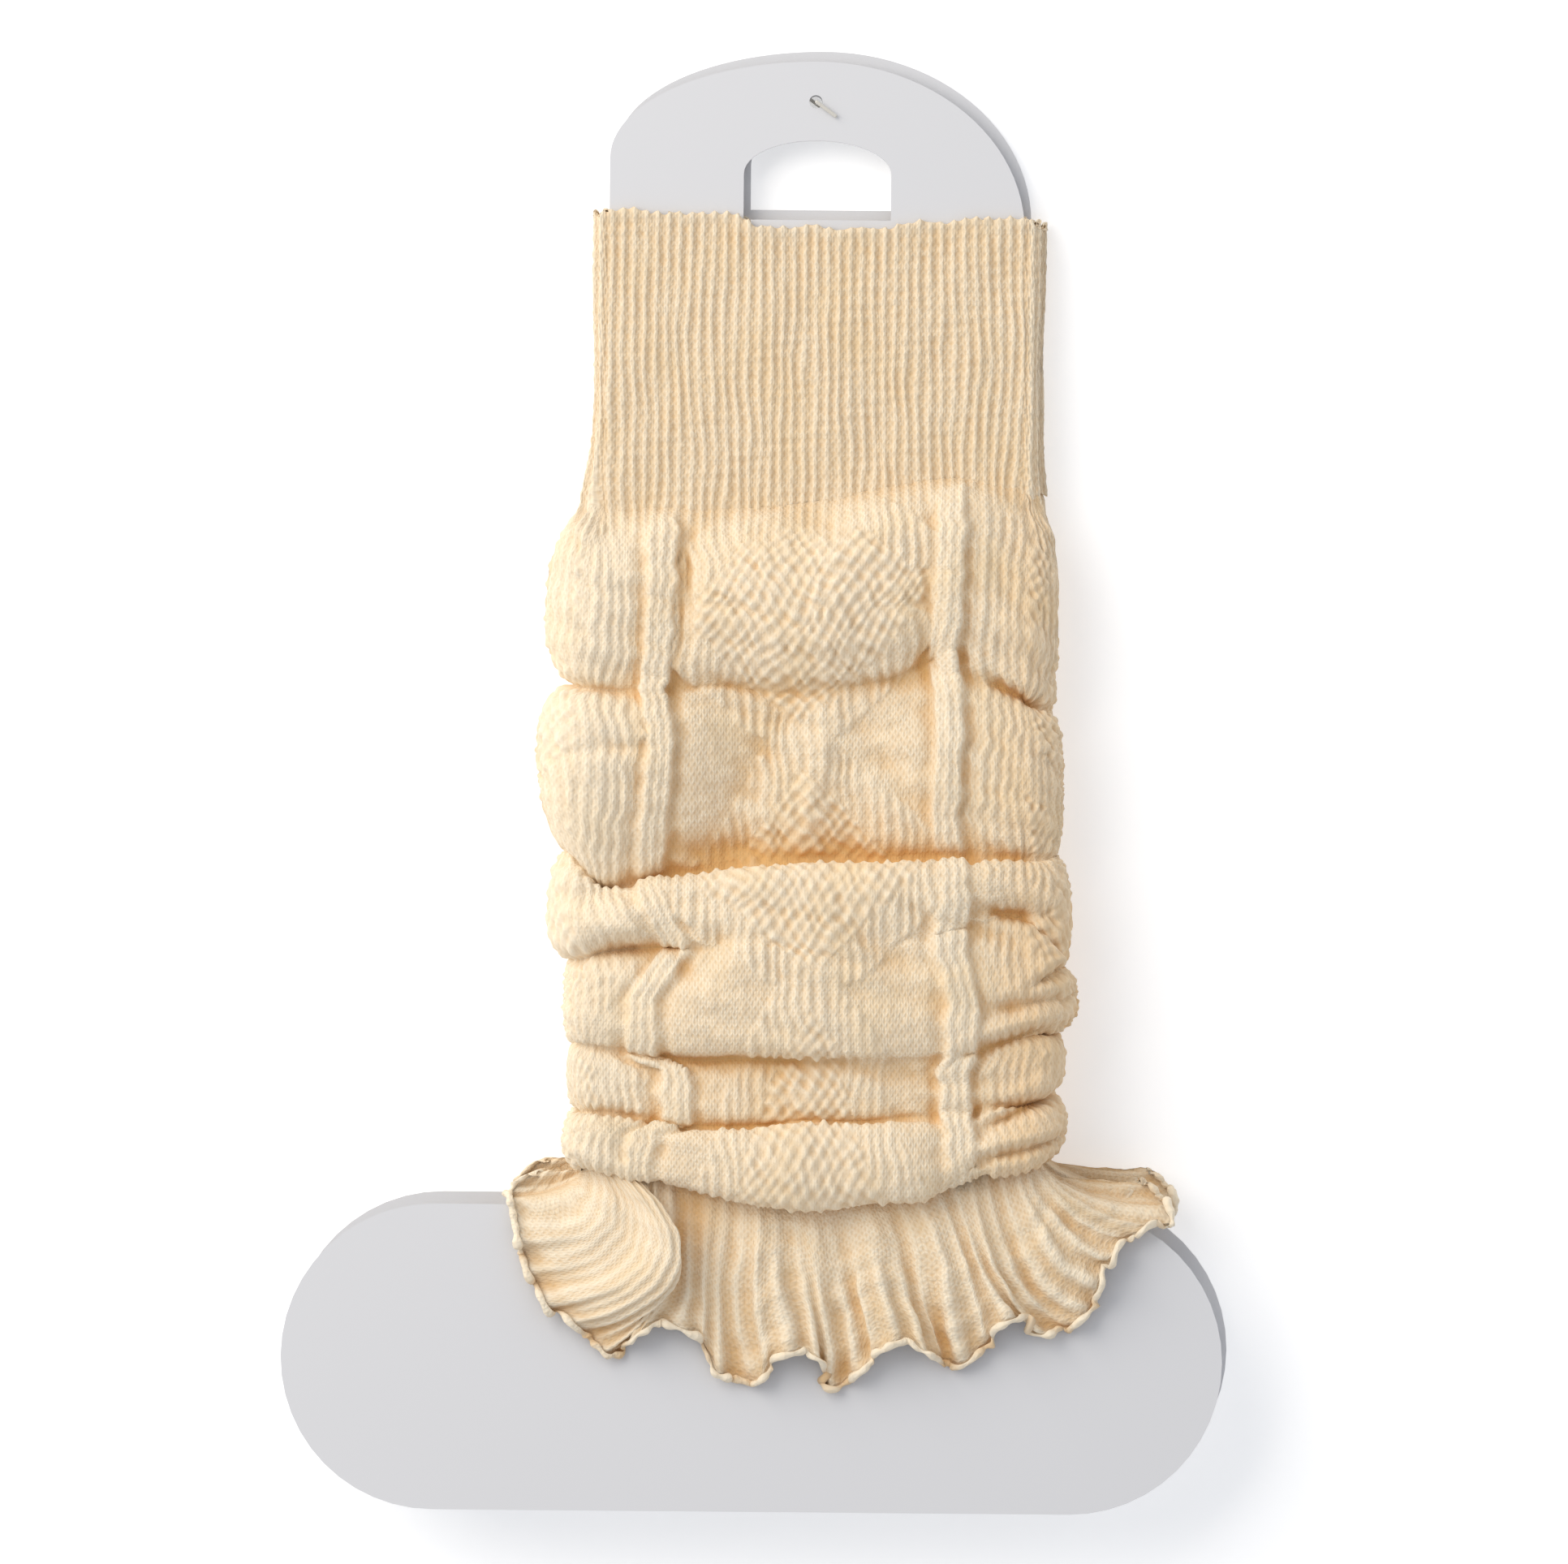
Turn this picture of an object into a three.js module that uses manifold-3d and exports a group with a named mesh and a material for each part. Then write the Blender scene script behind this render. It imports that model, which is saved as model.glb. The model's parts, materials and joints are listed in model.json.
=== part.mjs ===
// A pair of slouched knitted leg warmers, each pulled over a flat foot-shaped display card. The two
// cards lie on each other, face up, and one plastic tag pin holds them together at the top.
// Millimetres. +X runs across the cards, +Y from the foot end to the hanging slot and +Z upwards.
// Each leg warmer is one knitted tube in three stitches: a ribbed cuff, a body that is pushed down
// into soft rolls, and a flared frill. Where a roll of the front one lies free it stands high, and
// where cloth lies between the cards or on the table it is pressed flat.
import * as THREE from "three";
import Module from "manifold-3d";

// ---------------------------------------------------------------- driving dimensions
const CARD = {
  thickness: 1.0,
  legHalfWidth: 55.5,
  legCentre: 14.9, // the leg's centre line, measured from the middle of the foot
  archLeft: { base: 165.8, rise: 26.2 }, // the top is fuller on its left than on its right
  archRight: { base: 146.5, rise: 45.5 },
  footLength: 250,
  footHeight: 81,
  footBottom: -195,
  slotWidth: 39.4,
  slotBottom: 149.4,
  slotRise: 21.4,
  slotArch: 9,
  arcSteps: 12,
};
const PIN = { at: [14.3, 181.2], hole: 1.8, stem: 0.6, bar: 1.0, barLength: 6.2, barTurn: -36, under: 0.6, over: 8.05 };
const FOOT_TOP = CARD.footBottom + CARD.footHeight;
const HINGE_Y = 150; // the cards lie closest together here and spread apart towards the foot
const REAR = { lift: 2.6, rise: 0.0195, shift: [1.9, 3.0], cuffTop: 145, sideSpread: 0.7, facets: 22 };
const FRONT = { lift: 8.1, rise: 0.0505, shift: [0, 0], cuffTop: 148.2, sideSpread: 1, facets: 36 };
const BETWEEN = { lift: 5.35, rise: 0.035 }; // the plane where the two leg warmers touch

const GIRTH = 304; // once round the relaxed body
const CUFF = { wall: 1.8, sag: 1.6, lift: 1.85, side: 4.4 };
const BODY = { wall: 1.6, lowest: 3, highest: 19.5 };
const FRILL = { wall: 1.5, centreY: -107, left: 80, right: 96, drop: 51, waves: 19, wave: 4.2 };
const SEAM = 0.65; // clear between cuff and body
const FRILL_SEAM = 1.7; // clear between body and frill
const CLEAR = 0.6; // clear between cloth and card
const OVERHANG = 9; // the most a free roll may hang past the end of its piece
const PRESSED_CLEAR = 0.17; // from the plane between the leg warmers, on each side

// ---------------------------------------------------------------- the rolls of the body
// Places round the tube, as turns from the middle of the front: the sides are a quarter turn away
// and a raised column of rib runs down each eighth. The back repeats the front's folds.
const COLUMN_TURNS = [-0.25, -0.125, 0, 0.125, 0.25];
const JOIN_Y = [71, 70, 71, 78, 76]; // where the cuff meets the body, at those five places
// One row for each roll, from the top. At the five places: the height on the card of its foot (y), how
// far its crest and its foot stand off the card, and how far it overhangs the fold above and below.
const ROLLS = [
  { name: "bubble", foot: [26, 21, 21, 30, 19], crest: [15.6, 12, 15.5, 12.5, 8.8], floor: [5, 6, 5, 4, 7.6], over: 0, under: 1.2 },
  { name: "second", foot: [-19, -26, -20.7, -19.5, -18.5], crest: [17.6, 14, 8.5, 11, 10.8], floor: [9.6, 3, 3.2, 3.5, 8.6], over: 0, under: 0 },
  { name: "third_top", foot: [-48, -46, -47, -42, -41], crest: [14.4, 16, 19, 15, 12.4], floor: [7.4, 5, 18.5, 14, 9], over: 4.8, under: 2 },
  { name: "third_foot", foot: [-71, -75, -75, -75, -67], crest: [9.4, 13, 19.5, 15.5, 15.8], floor: [6.6, 5, 3.5, 4, 8.6], over: 0, under: 4 },
  { name: "strip", foot: [-88, -91, -90, -88, -84], crest: [8.6, 8, 8, 11, 12], floor: [5.8, 5, 7, 9.5, 7], over: 0, under: 0 },
  { name: "fourth", foot: [-104, -110, -116, -112, -100], crest: [9.6, 13, 17, 15, 12.4], floor: [5, 4.6, 4.6, 4.6, 5.4], over: 2, under: 4.2 },
];
const ROLL_STEPS = [0.04, 0.18, 0.5, 0.82, 0.96]; // rows of facets down one roll
const PRESSED_STEPS = [0.06, 0.3, 0.7, 0.94];
const FRILL_STEPS = [0, 0.1, 0.35, 0.68, 1];
const PRESSED_FRILL_STEPS = [0, 0.12, 0.5, 1];

// ---------------------------------------------------------------- small helpers
const mix = (a, b, t) => a + (b - a) * t;
const clamp01 = (t) => Math.min(1, Math.max(0, t));
const smooth = (t) => t * t * (3 - 2 * t);
const bump = (x, width) => Math.exp(-((x / width) ** 2));

// A value given at the five places, read at any turn; the back mirrors the front.
function across(values, turn) {
  const t = Math.abs(turn) > 0.25 ? Math.sign(turn) * (0.5 - Math.abs(turn)) : turn;
  let i = 0;
  while (i < COLUMN_TURNS.length - 2 && t > COLUMN_TURNS[i + 1]) i++;
  const along = clamp01((t - COLUMN_TURNS[i]) / (COLUMN_TURNS[i + 1] - COLUMN_TURNS[i]));
  return mix(values[i], values[i + 1], smooth(along));
}

// A value along the straight edge of a facet, so that both sides of a seam follow the same line.
function chord(read, turn, facets) {
  const start = Math.floor(turn * facets) / facets;
  return mix(read(start), read(start + 1 / facets), (turn - start) * facets);
}

// The card's leg inside the tube: the nearest place on it, and which way the cloth lies off it.
function roundTheCard(turn) {
  const flat = CARD.legHalfWidth / GIRTH;
  const side = turn < 0 ? -1 : 1;
  const t = Math.abs(turn);
  if (t <= flat) return { x: (turn / flat) * CARD.legHalfWidth, out: 0, up: 1 };
  if (t >= 0.5 - flat) return { x: (side * (0.5 - t) * CARD.legHalfWidth) / flat, out: 0, up: -1 };
  const angle = ((t - flat) / (0.5 - 2 * flat)) * Math.PI;
  return { x: side * CARD.legHalfWidth, out: side * Math.sin(angle), up: Math.cos(angle) };
}

// How high a plane of the pair lies above a card, at a place y on that card.
function planeOver(card, plane, y) {
  const a = Math.atan(card.rise);
  const below = HINGE_Y - y - card.shift[1];
  const level = plane.lift - card.lift - below * (Math.sin(a) - Math.cos(a) * plane.rise);
  return level / (Math.cos(a) + Math.sin(a) * plane.rise);
}
const TABLE = { lift: 0, rise: 0 };
// The room above and below each card, from the card's middle to where the cloth's outside must end.
const ROOM = new Map([
  [FRONT, { above: () => Infinity, below: (y) => -planeOver(FRONT, BETWEEN, y) - PRESSED_CLEAR }],
  [REAR, { above: (y) => planeOver(REAR, BETWEEN, y) - PRESSED_CLEAR, below: (y) => -planeOver(REAR, TABLE, y) }],
]);

// Free cloth keeps its height. Pressed cloth shares out what room there is, and its crests lie flat.
function pressed(height, room, wall) {
  if (room === Infinity) return height;
  const lowest = CARD.thickness / 2 + CLEAR + wall / 2;
  const share = clamp01((2.8 * (height - BODY.lowest)) / (BODY.highest - BODY.lowest));
  return mix(lowest, room - wall / 2, share);
}

// One where cloth lies free on the front and can overhang, none at the sides and where it is pressed.
function looseness(card, turn) {
  const free = ROOM.get(card).above(0) === Infinity;
  return free ? clamp01(1.5 * roundTheCard(turn).up) : 0;
}

// A point of cloth at a turn round the card, a place y along it and a height off it.
function onCard(card, turn, y, height, wall) {
  const at = roundTheCard(turn);
  const room = ROOM.get(card);
  const high = pressed(height, at.up > 0 ? room.above(y) : room.below(y), wall);
  return new THREE.Vector3(at.x + at.out * height * card.sideSpread, y, at.up * high);
}

// ---------------------------------------------------------------- the three knitted stretches
// A roll's outline from its top (0) to its foot (1): steep ends, a broad crest and tucked-in edges.
function onRoll(card, index, down, turn) {
  const roll = ROLLS[index];
  const above = ROLLS[index - 1];
  const topY = across(above ? above.foot : JOIN_Y, turn);
  const topFloor = above ? across(above.floor, turn) : cuffHeight(turn);
  const footY = across(roll.foot, turn);
  const angle = Math.PI * down;
  const round = Math.sin(angle);
  const tuck = (1 - round) ** 3 * (down < 0.5 ? -roll.over : roll.under) * looseness(card, turn);
  const wayDown = (1 - Math.sign(Math.cos(angle)) * Math.abs(Math.cos(angle)) ** 0.85) / 2;
  const floor = mix(topFloor, across(roll.floor, turn), smooth(down));
  const crest = Math.max(across(roll.crest, turn), floor);
  const y = mix(topY, footY, wayDown) + tuck;
  return onCard(card, turn, y, mix(floor, crest, round ** 0.7), BODY.wall);
}

function cuffHeight(turn) {
  return mix(CUFF.lift, CUFF.side, Math.abs(roundTheCard(turn).out));
}

function onCuff(card, down, turn) {
  const at = roundTheCard(turn);
  const top = card.cuffTop - CUFF.sag * (1 - (at.x / CARD.legHalfWidth) ** 2);
  const y = mix(top, across(JOIN_Y, turn) + SEAM, down);
  return onCard(card, turn, y, cuffHeight(turn), CUFF.wall);
}

// The frill runs from under the last roll to a flared, waved hem: half an oval in front and half
// behind, which meet just above the foot of the card.
function onFrill(card, down, turn) {
  const last = ROLLS[ROLLS.length - 1];
  const bodyEnd = (t) => across(last.foot, t) + last.under * looseness(card, t);
  const rootY = chord(bodyEnd, turn, card.facets) - FRILL_SEAM;
  const rootHeight = across(last.floor, turn) - 2; // tucked in under the last roll
  const at = roundTheCard(turn);
  const back = Math.abs(turn) > 0.25;
  const folded = back ? Math.sign(turn) * (0.5 - Math.abs(turn)) : turn;
  const fan = folded * 2 * Math.PI;
  const reach = folded < 0 ? -FRILL.left : FRILL.right;
  const hemX = reach * Math.abs(Math.sin(fan)) ** 0.9;
  const hemY = FRILL.centreY - FRILL.drop * Math.abs(Math.cos(fan)) ** 0.9;
  const wave = Math.sin(FRILL.waves * 2 * Math.PI * turn + 1.3 * Math.sin(4 * Math.PI * turn));
  const swell = wave * (1 - bump(Math.abs(turn) - 0.25, 0.04)); // none where the frill folds round the card
  const flare = down ** 1.6;
  const sideways = Math.abs(Math.sin(fan));
  const outward = mix(down, down ** 1.7, sideways);
  const downward = mix(down, 1 - (1 - down) ** 2.4, sideways);
  const lobe = bump(turn + 0.15, 0.045) * Math.sin(Math.PI * clamp01(down * 1.25));
  const rootX = at.x + at.out * rootHeight * card.sideSpread;
  const x = mix(rootX, hemX, outward) + 9 * lobe;
  const y = mix(rootY, hemY, downward) - 1.6 * swell * flare * Math.cos(fan);
  const height = mix(rootHeight, 6.5, down) + FRILL.wave * swell * flare + 7 * lobe;
  const room = ROOM.get(card);
  const high = pressed(height, at.up > 0 ? room.above(y) : room.below(y), FRILL.wall);
  const spread = Math.sign(at.up) * Math.abs(at.up) ** mix(1, 0.4, clamp01(3 * down));
  return new THREE.Vector3(x, y, spread * high);
}

// ---------------------------------------------------------------- cloth walls
// A tube wall from a function point(down, turn): an outer and an inner skin half a wall off it,
// joined round both ends. No vertex enters the card's clearance or leaves the room it is pressed into.
function tubeWall(card, point, rows, around, wall) {
  const step = 1e-3;
  const skin = (offset) =>
    rows.map((down) =>
      Array.from({ length: around }, (_, i) => {
        const turn = i / around - 0.5;
        const along = point(Math.min(1, down + step), turn).sub(point(Math.max(0, down - step), turn));
        const round = point(down, turn + step).sub(point(down, turn - step));
        const at = roundTheCard(turn);
        const squareEnd = down === 0 || down === 1;
        const normal = squareEnd ? new THREE.Vector3(at.out, 0, at.up) : along.cross(round).normalize();
        const p = point(down, turn).addScaledVector(normal, offset);
        const lowest = point(1, turn).y - OVERHANG * looseness(card, turn);
        p.y = Math.max(lowest, Math.min(p.y, point(0, turn).y));
        return keepClear(card, turn, p, offset);
      }),
    );
  const rings = [...skin(wall / 2), ...skin(-wall / 2).reverse()];
  const positions = rings.flat().flatMap((p) => p.toArray());
  const index = [];
  rings.forEach((ring, r) => {
    const next = (r + 1) % rings.length;
    ring.forEach((_, i) => {
      const j = (i + 1) % around;
      const [a, b, c, d] = [r * around + i, r * around + j, next * around + i, next * around + j];
      index.push(a, c, b, b, c, d);
    });
  });
  const geometry = new THREE.BufferGeometry();
  geometry.setAttribute("position", new THREE.Float32BufferAttribute(positions, 3));
  geometry.setIndex(index);
  return geometry;
}

function keepClear(card, turn, p, offset) {
  const room = ROOM.get(card);
  const at = roundTheCard(turn);
  if (at.up === 0) return p;
  const side = at.up > 0 ? 1 : -1;
  const end = side > 0 ? room.above(p.y) : room.below(p.y);
  const off = CARD.thickness / 2 + CLEAR;
  const overCard = Math.abs(p.x) < CARD.legHalfWidth + 0.5 || p.y < FOOT_TOP + 4;
  let z = p.z * side;
  if (offset > 0) z = Math.min(z, end);
  else if (Number.isFinite(end)) z = Math.min(z, end + 2 * offset);
  const overEdge = Math.abs(p.x) > CARD.legHalfWidth && p.y > FOOT_TOP - 8 ? 1.3 : 0;
  if (overCard) z = Math.max(z, overEdge + (offset > 0 ? off + 1 : off));
  return p.setZ(z * side);
}

// ---------------------------------------------------------------- card and pin
function cardShape(card) {
  const c = CARD;
  const left = -c.footLength / 2;
  const right = c.footLength / 2;
  const r = c.footHeight / 2;
  const [legLeft, legRight] = [c.legCentre - c.legHalfWidth, c.legCentre + c.legHalfWidth];
  const shape = new THREE.Shape();
  shape.moveTo(left + r, c.footBottom);
  shape.lineTo(right - r, c.footBottom);
  shape.absarc(right - r, c.footBottom + r, r, -Math.PI / 2, Math.PI / 2, false);
  shape.lineTo(legRight, FOOT_TOP);
  shape.lineTo(legRight, c.archRight.base);
  shape.absellipse(c.legCentre, c.archRight.base, c.legHalfWidth, c.archRight.rise, 0, Math.PI / 2, false, 0);
  shape.absellipse(c.legCentre, c.archLeft.base, c.legHalfWidth, c.archLeft.rise, Math.PI / 2, Math.PI, false, 0);
  shape.lineTo(legLeft, FOOT_TOP);
  shape.lineTo(left + r, FOOT_TOP);
  shape.absarc(left + r, c.footBottom + r, r, Math.PI / 2, (3 * Math.PI) / 2, false);

  const slot = new THREE.Path();
  const [slotLeft, slotRight] = [c.legCentre - c.slotWidth / 2, c.legCentre + c.slotWidth / 2];
  const shoulderY = c.slotBottom + c.slotRise - c.slotArch;
  slot.moveTo(slotLeft, c.slotBottom);
  slot.lineTo(slotRight, c.slotBottom);
  slot.lineTo(slotRight, shoulderY);
  slot.absellipse(c.legCentre, shoulderY, c.slotWidth / 2, c.slotArch, 0, Math.PI, false, 0);
  const hole = new THREE.Path();
  hole.absarc(PIN.at[0] - card.shift[0], PIN.at[1] - card.shift[1], PIN.hole, 0, 2 * Math.PI, false);
  shape.holes.push(slot, hole);
  return shape;
}

function cardMesh(name, card) {
  const geometry = new THREE.ExtrudeGeometry(cardShape(card), {
    depth: CARD.thickness,
    bevelEnabled: false,
    curveSegments: CARD.arcSteps,
  });
  geometry.translate(0, 0, -CARD.thickness / 2);
  return named(name, geometry, cardWhite);
}

// A tag pin: a thin stem through both cards' holes with a cross bar at either end. The upper bar has
// slipped to one side, so the stem bends over to reach it.
async function tagPin() {
  const modeller = await Module();
  modeller.setup();
  const { Manifold } = modeller;
  const rod = (from, to, thick) => {
    const [a, b] = [from, to].map((p) => Manifold.sphere(thick / 2, 12).translate(p));
    return Manifold.hull([a, b]);
  };
  const turn = (PIN.barTurn * Math.PI) / 180;
  const along = (x, y, d) => [x + d * Math.cos(turn), y + d * Math.sin(turn)];
  const [x, y] = PIN.at;
  const [upperX, upperY] = along(x, y, 3.4);
  const half = PIN.barLength / 2;
  const knee = [...along(x, y, 0.5), PIN.over - 0.4];
  const parts = [
    rod([...along(x, y, -half), PIN.under], [...along(x, y, half), PIN.under], PIN.bar),
    rod([x, y, PIN.under], knee, PIN.stem),
    rod(knee, [upperX, upperY, PIN.over], PIN.stem),
    rod([...along(upperX, upperY, -half), PIN.over], [...along(upperX, upperY, half), PIN.over], PIN.bar),
  ];
  const mesh = Manifold.union(parts).getMesh();
  const geometry = new THREE.BufferGeometry();
  geometry.setAttribute("position", new THREE.Float32BufferAttribute(mesh.vertProperties, 3));
  geometry.setIndex([...mesh.triVerts]);
  return named("tag_pin", geometry, pinWhite);
}

function named(name, geometry, material) {
  const mesh = new THREE.Mesh(geometry, material);
  mesh.name = name;
  return mesh;
}

// ---------------------------------------------------------------- materials
const knit = new THREE.MeshStandardMaterial({ color: 0xf0dcb9, roughness: 0.95, metalness: 0 });
const cardWhite = new THREE.MeshStandardMaterial({ color: 0xe6e7ea, roughness: 0.5, metalness: 0 });
const pinWhite = new THREE.MeshStandardMaterial({ color: 0xe9e6df, roughness: 0.35, metalness: 0 });

// ---------------------------------------------------------------- assembly
function bodyRows(steps) {
  return [0, ...ROLLS.flatMap((_, i) => steps.map((s) => (i + s) / ROLLS.length)), 1];
}

// One leg warmer on its card, in the card's own plane, then laid down at the card's slope.
function legWarmer(name, card, steps, frillSteps) {
  const cloth = new THREE.Group();
  cloth.position.x = CARD.legCentre;
  const cuffSteps = [0, 1 / 3, 2 / 3, 1];
  const around = card.facets;
  const onBody = (down, turn) => {
    const along = Math.min(down * ROLLS.length, ROLLS.length - 1e-9);
    return onRoll(card, Math.floor(along), along - Math.floor(along), turn);
  };
  cloth.add(
    named(`${name}_cuff`, tubeWall(card, (d, t) => onCuff(card, d, t), cuffSteps, around, CUFF.wall), knit),
    named(`${name}_body`, tubeWall(card, onBody, bodyRows(steps), around, BODY.wall), knit),
    named(`${name}_frill`, tubeWall(card, (d, t) => onFrill(card, d, t), frillSteps, 2 * around, FRILL.wall), knit),
  );
  const flat = new THREE.Group();
  flat.add(cloth, cardMesh(`${name}_card`, card));
  flat.position.set(card.shift[0], card.shift[1] - HINGE_Y, 0);
  const laid = new THREE.Group();
  laid.add(flat);
  laid.rotation.x = -Math.atan(card.rise);
  laid.position.set(0, HINGE_Y, card.lift);
  return laid;
}

const pair = new THREE.Group();
pair.position.set(-0.95, -0.2, 0); // the origin lies under the middle of the pair's outline
pair.add(
  legWarmer("front", FRONT, ROLL_STEPS, FRILL_STEPS),
  legWarmer("rear", REAR, PRESSED_STEPS, PRESSED_FRILL_STEPS),
  await tagPin(),
);
export default pair;
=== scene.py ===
# %% [markdown]
# A pair of slouched, knitted leg warmers lies flat, each pulled over a foot-shaped display card.
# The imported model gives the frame: every piece below is built in the same place and size, and
# takes over from the plain solid that stands for it. The box of that model is kept, so that the
# last cell can show how far the cloth stands proud of it.

# %% Load the frame
import json
import math

import bpy
import numpy as np
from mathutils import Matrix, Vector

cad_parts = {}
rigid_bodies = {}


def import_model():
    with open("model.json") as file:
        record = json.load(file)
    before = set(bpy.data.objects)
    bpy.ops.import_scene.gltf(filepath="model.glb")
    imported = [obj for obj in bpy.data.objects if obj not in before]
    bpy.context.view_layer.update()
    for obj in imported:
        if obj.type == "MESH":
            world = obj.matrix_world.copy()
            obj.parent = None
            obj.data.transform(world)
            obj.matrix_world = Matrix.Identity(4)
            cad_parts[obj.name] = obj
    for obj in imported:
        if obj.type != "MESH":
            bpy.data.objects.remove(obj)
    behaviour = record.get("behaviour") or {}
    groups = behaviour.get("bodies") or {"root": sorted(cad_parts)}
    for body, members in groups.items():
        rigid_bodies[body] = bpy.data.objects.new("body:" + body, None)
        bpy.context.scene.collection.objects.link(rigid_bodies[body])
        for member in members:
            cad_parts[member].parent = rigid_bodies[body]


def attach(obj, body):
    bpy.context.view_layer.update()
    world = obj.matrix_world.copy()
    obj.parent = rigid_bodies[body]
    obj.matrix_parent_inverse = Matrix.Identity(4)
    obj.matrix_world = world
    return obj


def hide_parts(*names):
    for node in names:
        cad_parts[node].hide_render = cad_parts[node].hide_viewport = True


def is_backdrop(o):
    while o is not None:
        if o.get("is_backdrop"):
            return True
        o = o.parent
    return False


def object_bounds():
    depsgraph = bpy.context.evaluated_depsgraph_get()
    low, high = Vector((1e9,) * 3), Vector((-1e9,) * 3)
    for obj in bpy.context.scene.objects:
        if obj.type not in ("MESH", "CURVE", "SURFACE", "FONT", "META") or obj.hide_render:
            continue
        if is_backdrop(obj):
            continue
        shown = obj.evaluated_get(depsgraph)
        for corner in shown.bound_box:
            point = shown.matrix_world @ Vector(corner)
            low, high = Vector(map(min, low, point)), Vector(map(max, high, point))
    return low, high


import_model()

CAD_BOX = [list(map(float, corner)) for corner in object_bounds()]
print("model box, m:", CAD_BOX)

# %% [markdown]
# All sizes are in millimetres until a piece is made. The two cards lie at a slight slope on each
# other: close together where the tag pin holds them, and parted at the foot by the cloth that is
# pressed between them. Each leg warmer is shaped flat on its card and then laid at that slope.
# The slope could be a parent's rotation; here it is worked into the points, so that each piece
# lies in the frame's own place with nothing left to apply.

# %% Sizes of the cards and how they lie
MM = 0.001
LEG_HALF = 55.5          # half the width of a card's leg, and where its middle is
LEG_CENTRE = 14.9
CARD_THICK = 1.0
HINGE_Y = 150.0          # the place up the leg where a card's lift is measured
ORIGIN = (-0.95, -0.2)   # where the model was laid on the table
GIRTH = 304.0            # the cloth all round the body
# lift and rise: a plane's height off the table at that place, and how much it climbs for each
# millimetre down the leg; side: how much of the cloth's bulk stands out past the card's sides
FRONT = dict(name="front", lift=8.1, rise=0.0505, shift=(0.0, 0.0), cuff_top=148.2, side=1.0)
REAR = dict(name="rear", lift=2.6, rise=0.0195, shift=(1.9, 3.0), cuff_top=145.0, side=0.7)
BETWEEN = dict(lift=5.35, rise=0.035)
TABLE = dict(lift=0.0, rise=0.0)
LOWEST, HIGHEST = 3.0, 19.5  # free cloth's heights, from which those of pressed cloth are scaled
CLEAR = 0.6                  # air between the card and the cloth
PRESSED_CLEAR = 0.17         # air on each side of the plane between the two leg warmers


def mix(a, b, t):
    """From a to b, as t goes from none to one."""
    return a + (b - a) * t


def smooth(t):
    """None to one with an easy start and end, and level beyond them."""
    t = np.clip(t, 0, 1)
    return t * t * (3 - 2 * t)


def bell(x, width):
    """One at the middle, fading to none a few widths away."""
    return np.exp(-((x / width) ** 2))


print(f"card's leg: {2 * LEG_HALF:.0f} mm wide; cloth round the body: {GIRTH:.0f} mm")

# %% [markdown]
# A place on the cloth is first given on its own card: across the leg, along it, and how far off
# it. One function says how far another plane of the pair is above that card, so that pressed
# cloth knows its room, and one lays the finished place down on the slope.

# %% From a card to the table


def plane_over(card, plane, y):
    """How high a plane of the pair lies above a card, at a place y on that card."""
    a = math.atan(card["rise"])
    below = HINGE_Y - y - card["shift"][1]
    level = plane["lift"] - card["lift"] - below * (math.sin(a) - math.cos(a) * plane["rise"])
    return level / (math.cos(a) + math.sin(a) * plane["rise"])


def lay(card, x, y, h):
    """From the card's own sides (x across the leg, y along it, h off it) to the frame, in metres."""
    a = math.atan(card["rise"])
    along = y + card["shift"][1] - HINGE_Y
    wx = x + LEG_CENTRE + card["shift"][0] + ORIGIN[0]
    wy = HINGE_Y + along * math.cos(a) + h * math.sin(a) + ORIGIN[1]
    wz = card["lift"] - along * math.sin(a) + h * math.cos(a)
    return np.stack([wx, wy, wz], axis=-1) * MM


print(f"front card over the rear one: {plane_over(REAR, FRONT, HINGE_Y):.1f} mm at the cuff's top,"
      f" {plane_over(REAR, FRONT, -100.0):.1f} mm at the frill")

# %% [markdown]
# The tube of cloth is measured in turns from the middle of its front: the sides are a quarter turn
# away. The same few numbers at named places round it set every fold, so that each roll can dip,
# swell and lean on its own. A smooth curve runs through them.

# %% Places round the tube
PLACES = np.array([-0.25, -0.1826, -0.125, -0.0625, 0.0, 0.0625, 0.125, 0.1826, 0.25])


def through(places, values, at):
    """A smooth curve through values at places, flat at both ends."""
    values = np.asarray(values, float)
    slopes = np.gradient(values, places)
    slopes[0] = slopes[-1] = 0
    i = np.clip(np.searchsorted(places, at, side="right") - 1, 0, len(places) - 2)
    width = places[i + 1] - places[i]
    t = (at - places[i]) / width
    return (values[i] * (1 + 2 * t) * (1 - t) ** 2 + values[i + 1] * t * t * (3 - 2 * t)
            + slopes[i] * width * t * (1 - t) ** 2 + slopes[i + 1] * width * t * t * (t - 1))


def across(values, turn):
    """A row of the fold table at any turn; the back repeats the front."""
    front = np.where(np.abs(turn) > 0.25, np.sign(turn) * (0.5 - np.abs(turn)), turn)
    return through(PLACES, values, front)


def round_the_card(turn):
    """The nearest place on the card's leg, and which way the cloth lies off it."""
    flat = LEG_HALF / GIRTH
    t = np.abs(turn)
    side = np.where(turn < 0, -1.0, 1.0)
    angle = np.clip((t - flat) / (0.5 - 2 * flat), 0, 1) * math.pi
    front_x = turn / flat * LEG_HALF
    back_x = side * (0.5 - t) / flat * LEG_HALF
    x = np.where(t <= flat, front_x, np.where(t >= 0.5 - flat, back_x, side * LEG_HALF))
    return x, side * np.sin(angle), np.cos(angle)


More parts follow.
